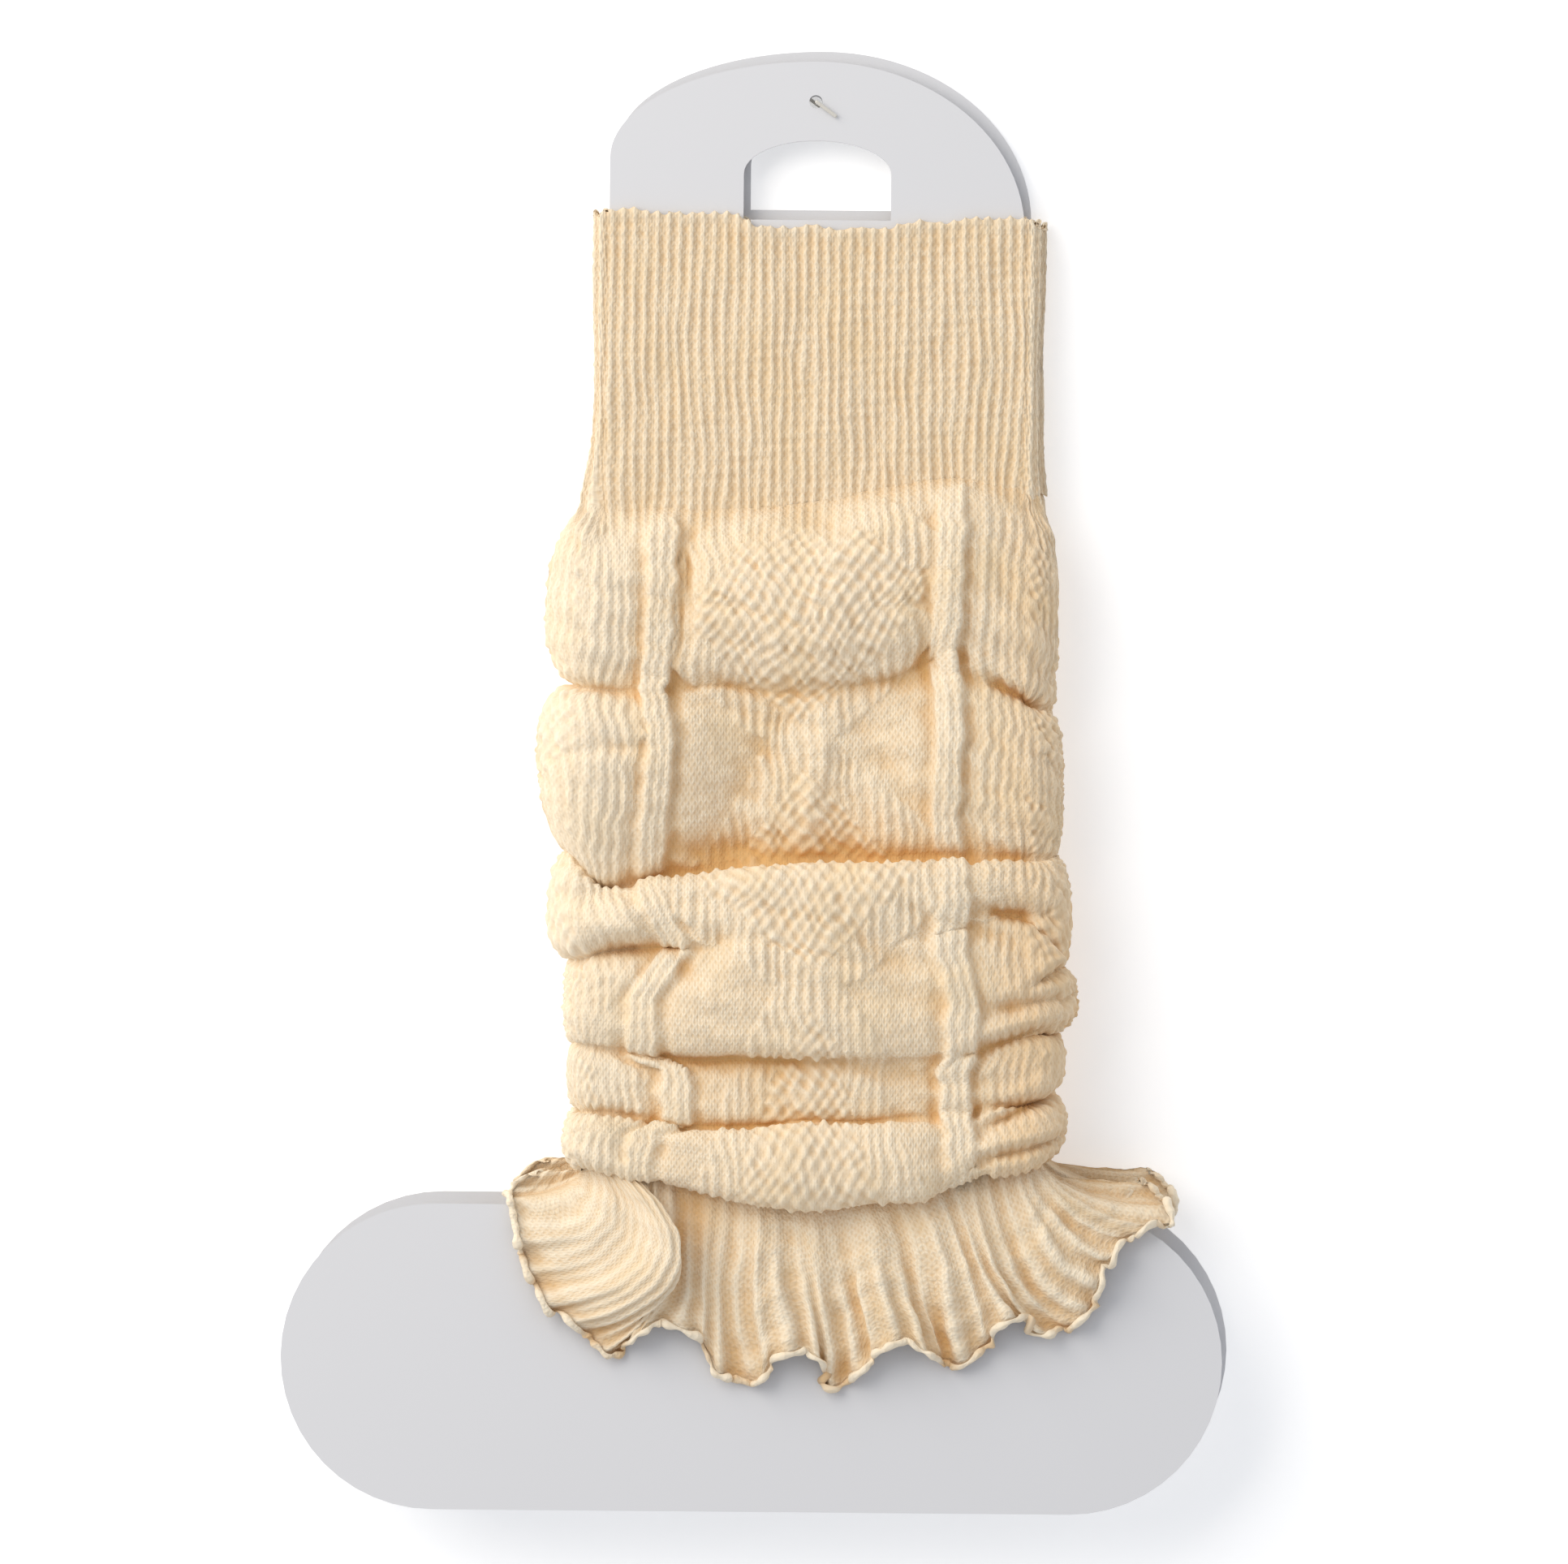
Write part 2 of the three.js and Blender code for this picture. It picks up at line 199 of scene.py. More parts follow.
def room(card, y, up):
    """The room off the card on the front or the back, to where the cloth must end."""
    if card is FRONT:
        above = np.full_like(y, np.inf)
        below = -plane_over(FRONT, BETWEEN, y) - PRESSED_CLEAR
    else:
        above = plane_over(REAR, BETWEEN, y) - PRESSED_CLEAR
        below = -plane_over(REAR, TABLE, y)
    return np.where(up > 0, above, below)


def looseness(card, up):
    """One where cloth lies free on the front and can overhang, none where it is pressed."""
    return np.clip(1.5 * up, 0, 1) if card is FRONT else np.zeros_like(up)


def pressed(height, space, wall):
    """Free cloth keeps its height; pressed cloth shares the space, and its crests lie flat."""
    lowest = CARD_THICK / 2 + CLEAR + wall / 2
    share = np.clip(2.8 * (height - LOWEST) / (HIGHEST - LOWEST), 0, 1)
    squashed = mix(lowest, np.where(np.isinf(space), 0, space) - wall / 2, share)
    return np.where(np.isinf(space), height, squashed)


print("places across the front:", len(PLACES))

# %% [markdown]
# A knitted piece is a grid: columns run along the wales and rows along the courses. It could be
# a cylinder pushed about by modifiers, but a grid that is worked out point by point keeps every
# stitch in its place through the folds. One helper blurs a grid, one finds which way each point
# faces, and one turns a grid into a mesh with its stitch coordinates, in millimetres of flat
# cloth, and the painted masks that the yarn uses. The last gives the cloth its unevenness.

# %% Helpers for grids of cloth


def blurred(grid, rows, columns):
    """A grid smoothed along its rows and round its columns, with weights like a bell."""
    out = grid.astype(float)
    for axis, sigma in ((0, rows), (1, columns)):
        if sigma <= 0:
            continue
        reach = int(3 * sigma) + 1
        weights = np.exp(-0.5 * (np.arange(-reach, reach + 1) / sigma) ** 2)
        weights /= weights.sum()
        pad = [(0, 0)] * out.ndim
        pad[axis] = (reach, reach)
        padded = np.pad(out, pad, mode="edge" if axis == 0 else "wrap")
        total = np.zeros_like(out)
        for k, w in enumerate(weights):
            part = [slice(None)] * out.ndim
            part[axis] = slice(k, k + out.shape[axis])
            total += w * padded[tuple(part)]
        out = total
    return out


def facing(points):
    """The unit normal at each point of a tube's grid, outwards."""
    down = np.gradient(points, axis=0)
    round_ = np.roll(points, -1, axis=1) - np.roll(points, 1, axis=1)
    normal = np.cross(down, round_)
    return normal / np.maximum(np.linalg.norm(normal, axis=-1, keepdims=True), 1e-12)


def cloth_mesh(name, points, stitch_u, stitch_v, masks):
    """A tube of cloth from a grid of points in metres, open at both ends."""
    rows, columns = points.shape[:2]
    mesh = bpy.data.meshes.new(name)
    r = np.arange(rows - 1)[:, None]
    c = np.arange(columns)[None, :]
    nxt = (c + 1) % columns
    corners = [r * columns + c, (r + 1) * columns + c, (r + 1) * columns + nxt, r * columns + nxt]
    quads = np.stack([np.broadcast_to(q, (rows - 1, columns)) for q in corners], axis=-1)
    mesh.vertices.add(rows * columns)
    mesh.vertices.foreach_set("co", points.reshape(-1).astype(np.float32))
    mesh.loops.add(quads.size)
    mesh.loops.foreach_set("vertex_index", quads.reshape(-1).astype(np.int32))
    mesh.polygons.add(quads.size // 4)
    mesh.polygons.foreach_set("loop_start", np.arange(0, quads.size, 4, dtype=np.int32))
    mesh.polygons.foreach_set("use_smooth", np.ones(quads.size // 4, dtype=bool))
    mesh.update(calc_edges=True)
    full_turn = 2 * stitch_u[:, -1:] - stitch_u[:, -2:-1]
    u = np.concatenate([stitch_u, full_turn], axis=1)
    v = np.concatenate([stitch_v, stitch_v[:, -1:]], axis=1)
    uv = np.empty((rows - 1, columns, 4, 2), np.float32)
    for corner, (dr, dc) in enumerate(((0, 0), (1, 0), (1, 1), (0, 1))):
        uv[:, :, corner, 0] = u[dr:rows - 1 + dr, dc:columns + dc]
        uv[:, :, corner, 1] = v[dr:rows - 1 + dr, dc:columns + dc]
    layer = mesh.uv_layers.new(name="stitches")
    layer.data.foreach_set("uv", uv.reshape(-1))
    for mask, values in masks.items():
        attribute = mesh.attributes.new(mask, "FLOAT", "POINT")
        values = np.broadcast_to(values, (rows, columns))
        attribute.data.foreach_set("value", values.reshape(-1).astype(np.float32))
    mesh.validate()
    piece = bpy.data.objects.new(name, mesh)
    bpy.context.scene.collection.objects.link(piece)
    print(f"{name}: {rows} courses by {columns} wales, {2 * (rows - 1) * columns} triangles")
    return piece


def uneven(u, v, scale, seed):
    """A soft, repeatable unevenness: a few waves of random direction, between about -1 and 1."""
    rng = np.random.default_rng(seed)
    total = np.zeros(np.broadcast(u, v).shape)
    for _ in range(7):
        angle, phase = rng.uniform(0, 2 * math.pi, 2)
        length = scale * rng.uniform(0.7, 1.5)
        total += np.sin((u * math.cos(angle) + v * math.sin(angle)) * 2 * math.pi / length + phase)
    return total / 3.5


print(f"unevenness at the cloth's corner: {float(uneven(0.0, 0.0, 30, 41)):.2f}")

# %% [markdown]
# The body is pushed down the leg into rolls, as a long sock is. A cloth simulation would make
# folds of its own; here each of the six rolls has a row in a table, so that it lies where a hand
# has pushed it. A row gives, at nine places across the front, the height on the card of the
# roll's foot, how far its crest stands off the card and how far the valley at its foot does, and
# how much it hangs over the valley above and below. Slim is how soon it falls off into its
# valleys, and lean moves its crest up (under one) or down.

# %% The rolls of the body
JOIN_Y = [71, 70, 70, 70, 72, 76, 78.5, 76, 74]
JOIN_HEIGHT = dict(front=2.0, side=4.4)
ROLLS = [
    dict(name="bubble", over=0.0, under=1.0,
         slim=[1.4, 1.3, 1.1, 1.05, 1.0, 1.0, 1.0, 1.15, 1.4],
         lean=[1.2, 1.2, 1.1, 1.15, 1.15, 1.1, 1.05, 1.1, 1.2],
         foot=[24.4, 21.8, 22.6, 23.4, 22.6, 26.5, 32.0, 22.5, 17.0],
         crest=[15.6, 14, 11.6, 15.0, 15.8, 15.2, 12.6, 11.0, 8.8],
         floor=[6.8, 6.5, 7.5, 5.0, 4.6, 4.6, 6.5, 4.6, 7.6]),
    dict(name="second", over=0.4, under=0.2,
         slim=[1.3, 1.2, 1.1, 1.3, 1.3, 1.3, 1.1, 1.1, 1.2],
         lean=[0.78, 0.8, 0.72, 0.58, 0.6, 0.66, 0.85, 0.9, 0.9],
         foot=[-19.4, -28.5, -26, -22.8, -21.5, -21.0, -21.0, -20.7, -20],
         crest=[17.6, 16, 13.2, 7.6, 7.8, 8.8, 12.0, 10.8, 10.8],
         floor=[9.6, 5, 3.4, 2.6, 2.6, 2.6, 5.0, 5.0, 8.6]),
    dict(name="third_top", over=[1, 1.5, 3, 5, 5, 5, 5, 3.5, 2],
         under=[0.6, 0.4, 0.5, 0.6, 0.6, 0.6, 0.6, 0.6, 0.6],
         slim=[1.3, 1.1, 0.8, 0.65, 0.6, 0.65, 0.7, 0.9, 1.2],
         lean=[1.2, 1.1, 1, 1, 1, 1, 1, 1, 1],
         foot=[-48.2, -47, -45.5, -46.0, -47, -45, -41, -37.5, -50],
         crest=[14.4, 15.4, 16.4, 18.6, 19, 17.8, 15.4, 12.8, 13.0],
         floor=[8.4, 7.6, 10.5, 18.3, 18.7, 17.2, 14.2, 10.0, 10]),
    dict(name="third_foot", over=0.5, under=1.5, lean=1.0,
         slim=[1.4, 1.1, 0.8, 0.65, 0.6, 0.65, 0.8, 0.9, 1.1],
         foot=[-70.9, -73, -75.2, -75.4, -75.2, -75.0, -74.6, -71, -66.6],
         crest=[9.4, 12.0, 14.6, 18.6, 19.2, 18.2, 16.0, 13.2, 15.4],
         floor=[6.6, 5.4, 5.4, 8.0, 11.5, 12.5, 12.5, 10.0, 8.6]),
    dict(name="strip", over=0.2, under=0.4, lean=1.0,
         slim=[1.3, 1.1, 1.0, 1.0, 1.0, 1.0, 1.0, 1.0, 1.2],
         foot=[-88.2, -89.3, -92, -92.4, -91.5, -91, -89.3, -86, -82],
         crest=[8.6, 8.6, 9.6, 10.0, 12.0, 12.5, 12.5, 11.6, 12],
         floor=[5.8, 5, 4.6, 6.6, 9.2, 9.4, 10.0, 7.5, 7]),
    dict(name="fourth", over=2.2, under=4.4, lean=1.0,
         slim=[1.3, 1.1, 0.9, 0.7, 0.65, 0.7, 0.8, 0.9, 1.1],
         foot=[-104, -107, -110.4, -114.0, -116.2, -114.6, -111.4, -107, -100.5],
         crest=[9.6, 11.6, 13.6, 16.0, 17, 16.4, 15.0, 14, 12.4],
         floor=[5, 4.6, 4.6, 4.4, 4.4, 4.4, 4.6, 4.8, 5.4]),
]


def join_height(turn, out):
    """How far off the card the body and the cuff meet; the left flank is thrown out the most."""
    flare = np.where(turn < 0, 3.2, 0.7) * smooth(np.abs(out) * 2 - 0.4)
    return mix(JOIN_HEIGHT["front"], JOIN_HEIGHT["side"], np.abs(out)) + flare


def roll_path(card, turn, samples):
    """The outline down the body at each turn: heights on the card, and off it, before the knit."""
    _, out, up = round_the_card(turn)
    free = looseness(card, up)
    ys, hs = [], []
    top_y = across(JOIN_Y, turn) + 2.0
    top_floor = join_height(turn, out) - 0.7 - 0.3 * np.abs(out)
    for index, roll in enumerate(ROLLS):
        named = ("foot", "crest", "floor", "slim", "lean", "over", "under")
        foot, crest, floor, slim, lean, over, under = (
            across(np.broadcast_to(roll[k], len(PLACES)), turn) for k in named)
        # the first roll hangs on the cuff, so it leaves it more slowly
        for down in np.linspace(0, 1, samples):
            arch = np.sin(math.pi * down ** lean)
            soft = 1 + (0.9 * float(smooth(1 - 2 * down)) * (1 - 0.6 * np.abs(out)) if index == 0 else 0.0)
            tuck = (1 - arch) ** 3 * (-over if down < 0.5 else under) * free
            cosine = math.cos(math.pi * down)
            way = (1 - math.copysign(abs(cosine) ** 0.85, cosine)) / 2
            valley = mix(top_floor, floor, float(smooth(down)))
            ys.append(mix(top_y, foot, way) + tuck)
            hs.append(mix(valley, np.maximum(crest, valley), np.maximum(arch, 0) ** (slim * soft)))
        top_y, top_floor = foot, floor
    return np.array(ys), np.array(hs)


print("rolls:", ", ".join(roll["name"] for roll in ROLLS))

# %% [markdown]
# Smaller folds run across the rolls where the cloth is caught: hooks, slits and slanting creases.
# They could be sculpted by hand; a table of them can be read and changed. Each is a short line on
# the card with a width, a depth, and a lip: how far the cloth beside it is thrown up, above the
# line (plus) or below it (minus). A negative depth is a swelling.

# %% The small folds
CREASES = [
    dict(name="left_hook", start=(-56, -45.5), end=(-44, -46.5), width=2.3, depth=4.4, lip=1.6),
    dict(name="left_hook_turn", start=(-38, -44.0), end=(-31, -53), width=2.2, depth=1.8, lip=1.2),
    dict(name="left_shoulder", start=(-66, -33), end=(-44, -31), width=2.6, depth=2.2, lip=1.0),
    dict(name="right_slit", start=(46, -34.8), end=(60, -36.2), width=2.5, depth=4.6, lip=0.9),
    dict(name="right_slit_low", start=(42, -40.5), end=(52, -42.5), width=3.2, depth=1.8, lip=0.5),
    dict(name="right_slant_a", start=(60, -54.5), end=(70, -49.5), width=1.5, depth=3.2, lip=1.2),
    dict(name="right_slant_b", start=(48, -61.5), end=(68, -57.5), width=1.8, depth=2.2, lip=1.0),
    dict(name="right_slant_c", start=(42, -72.5), end=(68, -64.5), width=1.6, depth=3.4, lip=1.4),
    dict(name="right_slant_d", start=(48, -92.5), end=(68, -81.5), width=1.6, depth=4.0, lip=1.6),
    dict(name="right_slant_e", start=(44, -103.0), end=(67, -94.5), width=1.6, depth=3.4, lip=1.5),
    dict(name="right_tuck", start=(44, 26.5), end=(63, 18.5), width=2.0, depth=3.2, lip=1.8),
    dict(name="right_bulge", start=(47, 43.0), end=(62, 34.0), width=3.2, depth=-2.4, lip=0.0),
    dict(name="left_dip", start=(-62, 5.0), end=(-46, 8.0), width=2.4, depth=1.6, lip=-0.8),
    dict(name="bubble_side", start=(29, 52.0), end=(31, 30.0), width=3.2, depth=1.2, lip=0.6),
    dict(name="bubble_left", start=(-33, 62.0), end=(-35, 36.0), width=2.4, depth=2.0, lip=-1.0),
    dict(name="second_band", start=(-10, 14.0), end=(-20, -10.0), width=4.5, depth=1.0, lip=-0.8),
    dict(name="second_centre", start=(4, 14.0), end=(-2, -14.0), width=3.0, depth=-1.4, lip=0.0),
    dict(name="second_right", start=(16, 10.0), end=(30, -10.0), width=3.0, depth=1.4, lip=0.8),
    dict(name="fold_pit", start=(-35, -19.0), end=(-12, -17.5), width=4.0, depth=2.6, lip=0.0),
    dict(name="third_panel_left", start=(-36, -56.0), end=(-20, -40.0), width=4.0, depth=1.4, lip=-0.8),
    dict(name="third_panel_right", start=(10, -38.0), end=(32, -60.0), width=4.0, depth=1.4, lip=0.8),
    dict(name="fourth_dip", start=(-46, -96.0), end=(-30, -103.0), width=3.6, depth=1.2, lip=0.8),
]


def crease_relief(x, y):
    """How far the small folds throw the cloth in or out, at places on the front."""
    total = np.zeros_like(x)
    for crease in CREASES:
        (x0, y0), (x1, y1) = crease["start"], crease["end"]
        length = math.hypot(x1 - x0, y1 - y0)
        ux, uy = (x1 - x0) / length, (y1 - y0) / length
        along = ((x - x0) * ux + (y - y0) * uy) / length
        off = -(x - x0) * uy + (y - y0) * ux
        if ux < 0:
            off = -off
        beyond = np.maximum(np.abs(along - 0.5) - 0.5, 0) * length
        fade = bell(beyond, 2.5 + crease["width"]) * (0.55 + 0.45 * smooth(2 - 4 * np.abs(along - 0.5)))
        lip_at = 1.9 * crease["width"] * np.sign(crease["lip"])
        total += fade * (-crease["depth"] * bell(off, crease["width"])
                         + abs(crease["lip"]) * bell(off - lip_at, 1.5 * crease["width"]))
    return total


print("small folds:", len(CREASES), "deepest", max(crease["depth"] for crease in CREASES), "mm")

# %% [markdown]
# The knit itself. Four panels are parted by raised columns of rib, one about an eighth of a turn
# either side of the middle. In each panel two bands of rib part, cross and join again, and the
# diamonds between them are filled with seed stitch: small bumps set like a chequer board. Such
# relief could be bump alone, but it is thick enough to break the cloth's outline, so the stitches
# down to the seed bumps are shape, and only what is finer is left to the yarn's bump. One table
# says how far a column stands from the middle, since each roll shifts it a little sideways, and
# one how far a band runs from its panel's middle.

# %% The stitch pattern of the body
COLUMN_WIDTH = 8.0
COLUMN_PATH = np.array([
    # along the leg, how far the left and the right column stand from the middle of the panel
    (80.0, 41.0, 36.8),
    (42.0, 40.2, 35.7),
    (34.0, 40.6, 34.7),
    (23.0, 42.6, 36.3),
    (11.0, 40.2, 36.3),
    (-9.5, 41.7, 35.2),
    (-22.0, 43.1, 37.5),
    (-36.0, 41.0, 36.8),
    (-46.0, 36.5, 37.0),
    (-51.0, 38.5, 38.2),
    (-60.0, 44.0, 39.3),
    (-74.5, 44.5, 40.0),
    (-78.0, 36.0, 38.7),
    (-92.0, 35.5, 38.7),
    (-95.0, 44.0, 40.0),
    (-115.0, 46.0, 40.0),
])
RIB_PITCH = GIRTH / 100
CUFF_RIBS = 81
WALE = GIRTH / 200
COURSE = 1.2
BAND_WIDTH = 10.5
BAND_RIDGE = 3.2
BAND_PATH = np.array([
    # down the cloth, from the middle of the front panel, from the middle of a side panel
    (-4, 4.0, 26.0),
    (28, 36.5, 4.0),
    (40, 36.5, 5.0),
    (71, 4.0, 25.0),
    (76, 4.0, 26.0),
    (98, 22.0, 6.0),
    (113, 34.0, 5.0),
    (122, 33.0, 12.0),
    (146, 4.0, 24.0),
    (150, 4.5, 24.0),
    (163, 12.0, 14.0),
    (180, 17.0, 4.5),
    (200, 22.0, 14.0),
    (222, 32.0, 24.0),
])
SEED_PITCH = GIRTH / 80
SEED_COURSE = 5.0


def pattern(turn, v, y):
    """For each place: how high the knit stands, how much it is seed stitch, how much rib, how far
    up a seed stitch's knot it is, and how much painted shade it takes between stitches and ribs."""
    # the columns, three ribs wide, with a gutter beside each
    left = turn < 0
    down_leg, left_path, right_path = COLUMN_PATH[::-1].T
    stands = np.where(left, np.interp(y, down_leg, left_path), np.interp(y, down_leg, right_path))
    folded = np.where(np.abs(turn) > 0.25, 0.5 - np.abs(turn), np.abs(turn))
    around = turn * GIRTH
    wobble = 0.9 * uneven(around, v, 30, 41) + 0.5 * uneven(around, v, 9, 42)
    from_column = folded * GIRTH - stands + wobble
    column = smooth((COLUMN_WIDTH / 2 + 0.8 - np.abs(from_column)) / 1.6)
    ribs = np.cos(2 * math.pi * from_column / (COLUMN_WIDTH / 3))
    column_height = column * (1.3 + 0.32 * ribs)
    gutter = bell(np.abs(from_column) - COLUMN_WIDTH / 2 - 1.6, 1.6)
    # the bands, from the middle of the front panel or of a side one
    middle = from_column < 0
    sway = 2.0 * uneven(around, v, 60, 43) + 0.8 * uneven(around, v, 14, 40)
    from_middle = np.where(middle, np.abs(around + sway + 2.5 * smooth((90 - v) / 20)),
                           (0.25 - folded) * GIRTH + sway)
    down, front_path, side_path = BAND_PATH.T
    path = np.where(middle, np.interp(v, down, front_path), np.interp(v + 9, down, side_path))
    slope = np.gradient(path, axis=0) / np.maximum(np.gradient(v, axis=0), 1e-6)
    off = (from_middle - path) / np.sqrt(1 + slope ** 2)
    band = smooth((BAND_WIDTH / 2 - np.abs(off)) / 1.2 + 0.5) * (1 - column)
    across_band = around + 0.9 * uneven(around, 0.6 * v, 11, 39) + 0.5 * sway
    ridges = np.cos(2 * math.pi * across_band / BAND_RIDGE)
    # the seed stitch inside the diamonds, and the plain rib beside a column in the side panels
    seed = smooth((-off - BAND_WIDTH / 2) / 1.2 + 0.5) * (1 - column)
    beside = smooth((from_column - COLUMN_WIDTH / 2 - 1.0) / 2) * smooth((22 - from_column) / 3)
    beside = beside * np.where(middle, 0, 1)
    beside = beside * (0.35 + 0.65 * smooth(1.5 + 2.5 * uneven(around, v, 70, 47)))
    at_sides = np.maximum(seed, smooth((from_column - 20) / 3)) * (1 - beside)
    seed = np.where(middle, seed, at_sides) * (1 - band)
    band = np.where(middle, band, band * (1 - beside))
    seed = seed * (1 - column)
    side_ribs = np.abs(np.cos(math.pi * from_column / RIB_PITCH)) ** 1.3
    su = (around + 0.6 * uneven(around, v, 9, 44) + 1.2 * uneven(around, v, 26, 48)) / SEED_PITCH
    sv = (v + 0.6 * uneven(around, v, 9, 45) + 1.2 * uneven(around, v, 26, 49)) / SEED_COURSE
    knots = np.cos(2 * math.pi * su) * np.cos(2 * math.pi * sv) * (1.0 + 0.4 * uneven(around, v, 7, 46))
    knots = knots + 0.35 * uneven(around, v, 4.5, 50)
    height = (column_height - 1.1 * gutter * (1 - band) + seed * (0.6 + 0.68 * knots)
              + band * (0.55 + (0.42 + 0.2 * uneven(around, v, 20, 51)) * ridges)
              + beside * (0.9 * side_ribs - 0.2))
    ribbed = np.maximum(np.maximum(column, band), 0.8 * beside)
    inner = gutter * np.where(middle, 1.0, 0.3) * smooth((y + 30) / 8) * np.where(left, 1.0, 0.6)
    # painted shade: in the gutters beside the columns, on the columns' low stitches, between the bands'
    # ridges and between the side ribs
    dip = (0.9 * inner + 0.4 * column * smooth(1.5 - height) + 0.5 * band * (0.5 - 0.5 * ridges)
           + 0.4 * beside * (1 - side_ribs))
    return height, seed, ribbed, 0.5 + 0.5 * np.clip(knots, -1, 1), dip


print(f"rib pitch {RIB_PITCH:.2f} mm, wale {WALE:.2f} mm, course {COURSE:.2f} mm,"
      f" seed stitch {SEED_PITCH:.2f} by {SEED_COURSE:.2f} mm")

# %% [markdown]
# The grid is fine across the front, where it shows, and coarse on the pressed back. Down the
# cloth it is cut into even courses, as a machine knits them, wherever the folds go. The yarn also
# has to know how deep in a fold it lies, for its painted shade: a place that is lower than the
# cloth round it is in a pocket, and two blurs, a narrow and a wide one, find the pits and the big
# valleys.

# %% Where wales and courses stand


def turns_for(front_columns, back_columns, front_reach=0.27):
    """Where the wales of a grid stand round the tube, close together on the front."""
    front = np.linspace(-front_reach, front_reach, front_columns)
    back = np.linspace(front_reach, 1 - front_reach, back_columns + 2)[1:-1]
    turn = np.concatenate([front, back])
    return turn - np.round(turn)


def unwrapped(turn):
    """The same turns as one rising run, so that stitch widths can be measured along it."""
    return np.where(turn < turn[0] - 1e-9, turn + 1, turn)


def course_places(paths, courses):
    """Cut a stack of outlines into courses of even average length; also the length down to each."""
    y, h = paths
    step = np.sqrt(np.diff(y, axis=0) ** 2 + np.diff(h, axis=0) ** 2).mean(axis=1)
    length = np.concatenate([[0], np.cumsum(step)])
    even = np.linspace(0, length[-1], courses)
    place = np.interp(even, length, np.arange(len(length)))
    low = np.clip(np.floor(place).astype(int), 0, len(length) - 2)
    part = (place - low)[:, None]
    return [mix(g[low], g[low + 1], part) for g in (y, h)], even


def masks_from(points, seed_stitch, column, painted_highlight, dip=0.0, knot=0.5):
    """Masks for the yarn: painted shade in folds and between ribs, seed stitch, rib, and painted highlight.
    """
    height = points[..., 2] / MM
    near = blurred(height, 7, 9)
    wide = blurred(height, 20, 16)
    # painted shade where the cloth lies lower than the cloth round it
    pocket = 0.6 * np.clip((near - height) / 3.2, 0, 1) + 0.8 * np.clip((wide - height - 0.4) / 6.0, 0, 1)
    return dict(pocket=np.clip(pocket, 0, 1), seed_stitch=seed_stitch, column=column, painted_highlight=painted_highlight,
                dip=dip, knot=knot)


print("a grid of nine wales in front and three behind stands at turns", turns_for(9, 3).round(2))

# %% [markdown]
# The cuff is plain one-and-one rib, 81 ribs round and 3 mm apart, and its ribs run on for a short
# way into the body before the diamonds begin. So the ribs come first. On the card's two faces
# they stand at their full pitch, and the four that are left on each side go round its thin edge:
# spread evenly by angle instead, they would crowd there into dark lines.

# %% The cuff's ribs


def rib_at(turn):
    """The rib at each turn, counted from the middle of the front."""
    flat = LEG_HALF / GIRTH
    t = np.abs(turn)
    on_faces = (np.minimum(t, flat) + np.maximum(t - 0.5 + flat, 0)) * GIRTH / RIB_PITCH
    round_side = CUFF_RIBS / 2 - 2 * LEG_HALF / RIB_PITCH
    return np.sign(turn) * (on_faces + round_side * np.clip((t - flat) / (0.5 - 2 * flat), 0, 1))


def cuff_ribs(turn, u, y, amount):
    """The ribs wander a little, by an amount: which rib each place is on, and how high it is."""
    wander = 0.9 * uneven(u, 0.8 * y, 40, 31) + 0.4 * uneven(u, 0.7 * y, 11, 32)
    rib = rib_at(turn) + wander / RIB_PITCH * amount
    return rib, np.abs(np.cos(math.pi * rib)) ** (2.8 + 0.8 * uneven(u, 0.5 * y, 13, 38))


print(f"ribs on the card's front face: {2 * float(rib_at(LEG_HALF / GIRTH)):.0f} of {CUFF_RIBS}")

# %% [markdown]
# The body is built on the fold table: the outline down each wale is drawn, its sharp turns are
# eased, and it is cut into courses. The thick columns don't follow a narrow valley, so they bridge
# it, and the second roll is one broad swell. The small folds, a little unevenness and then the
# stitch pattern are laid on along the cloth's normal. A painted highlight lightens the tops of the
# ribs and of the seed stitches and the left flank; painted shade darkens the right flank.

# %% Shape the body
CUFF_HEIGHT = 2.0  # how far the cuff's cloth stands off its card
BODY_THICK = 1.6


def bridged(y, h, v, turn, course):
    """Ease the outline over the second roll, and under the columns of rib where they cross folds."""
    broad = bell(y - 21, 15) * bell(turn - 0.01, 0.115)
    off_middle = np.abs(turn)
    is_column = smooth((off_middle - 0.1) / 0.02) * smooth((0.165 - off_middle) / 0.02)
    is_column = is_column * pattern(turn, v, y)[2]
    below = np.where(turn > 0, smooth((-50 - y) / 6), 0.5 * smooth((-58 - y) / 8))
    bridge = is_column * smooth((v - 4) / 9) * (smooth((y + 12) / 6) + below)
    for soft, width, raised in ((0.85 * broad, 5.0, 0.0), (0.85 * bridge, 7.0, 1.2)):
        y = mix(y, blurred(y, width / course, 0), soft)
        h = mix(h, blurred(h, width / course, 0) + raised, soft)
    return y, h


def adjust_painted_shading(masks, turn, y, v):
    """The painted shade in the body's pockets fades where it leaves the cuff; painted shade on the right
    flank, a painted highlight on the left.
    """
    shaded_flank = smooth((turn - 0.14) / 0.05) * smooth((0.3 - turn) / 0.05)
    lit_flank = smooth((-0.13 - turn) / 0.05) * smooth((0.3 + turn) / 0.05)
    low = smooth((-25 - y) / 15)
    pocket = masks["pocket"] * (0.3 + 0.7 * smooth((v - 4) / 12))
    masks["pocket"] = np.clip(pocket * (1 - 0.5 * lit_flank) + (0.22 + 0.14 * low) * shaded_flank, 0, 1)
    masks["painted_highlight"] = np.clip(masks["painted_highlight"] + 0.42 * lit_flank, 0, 1)
    return masks


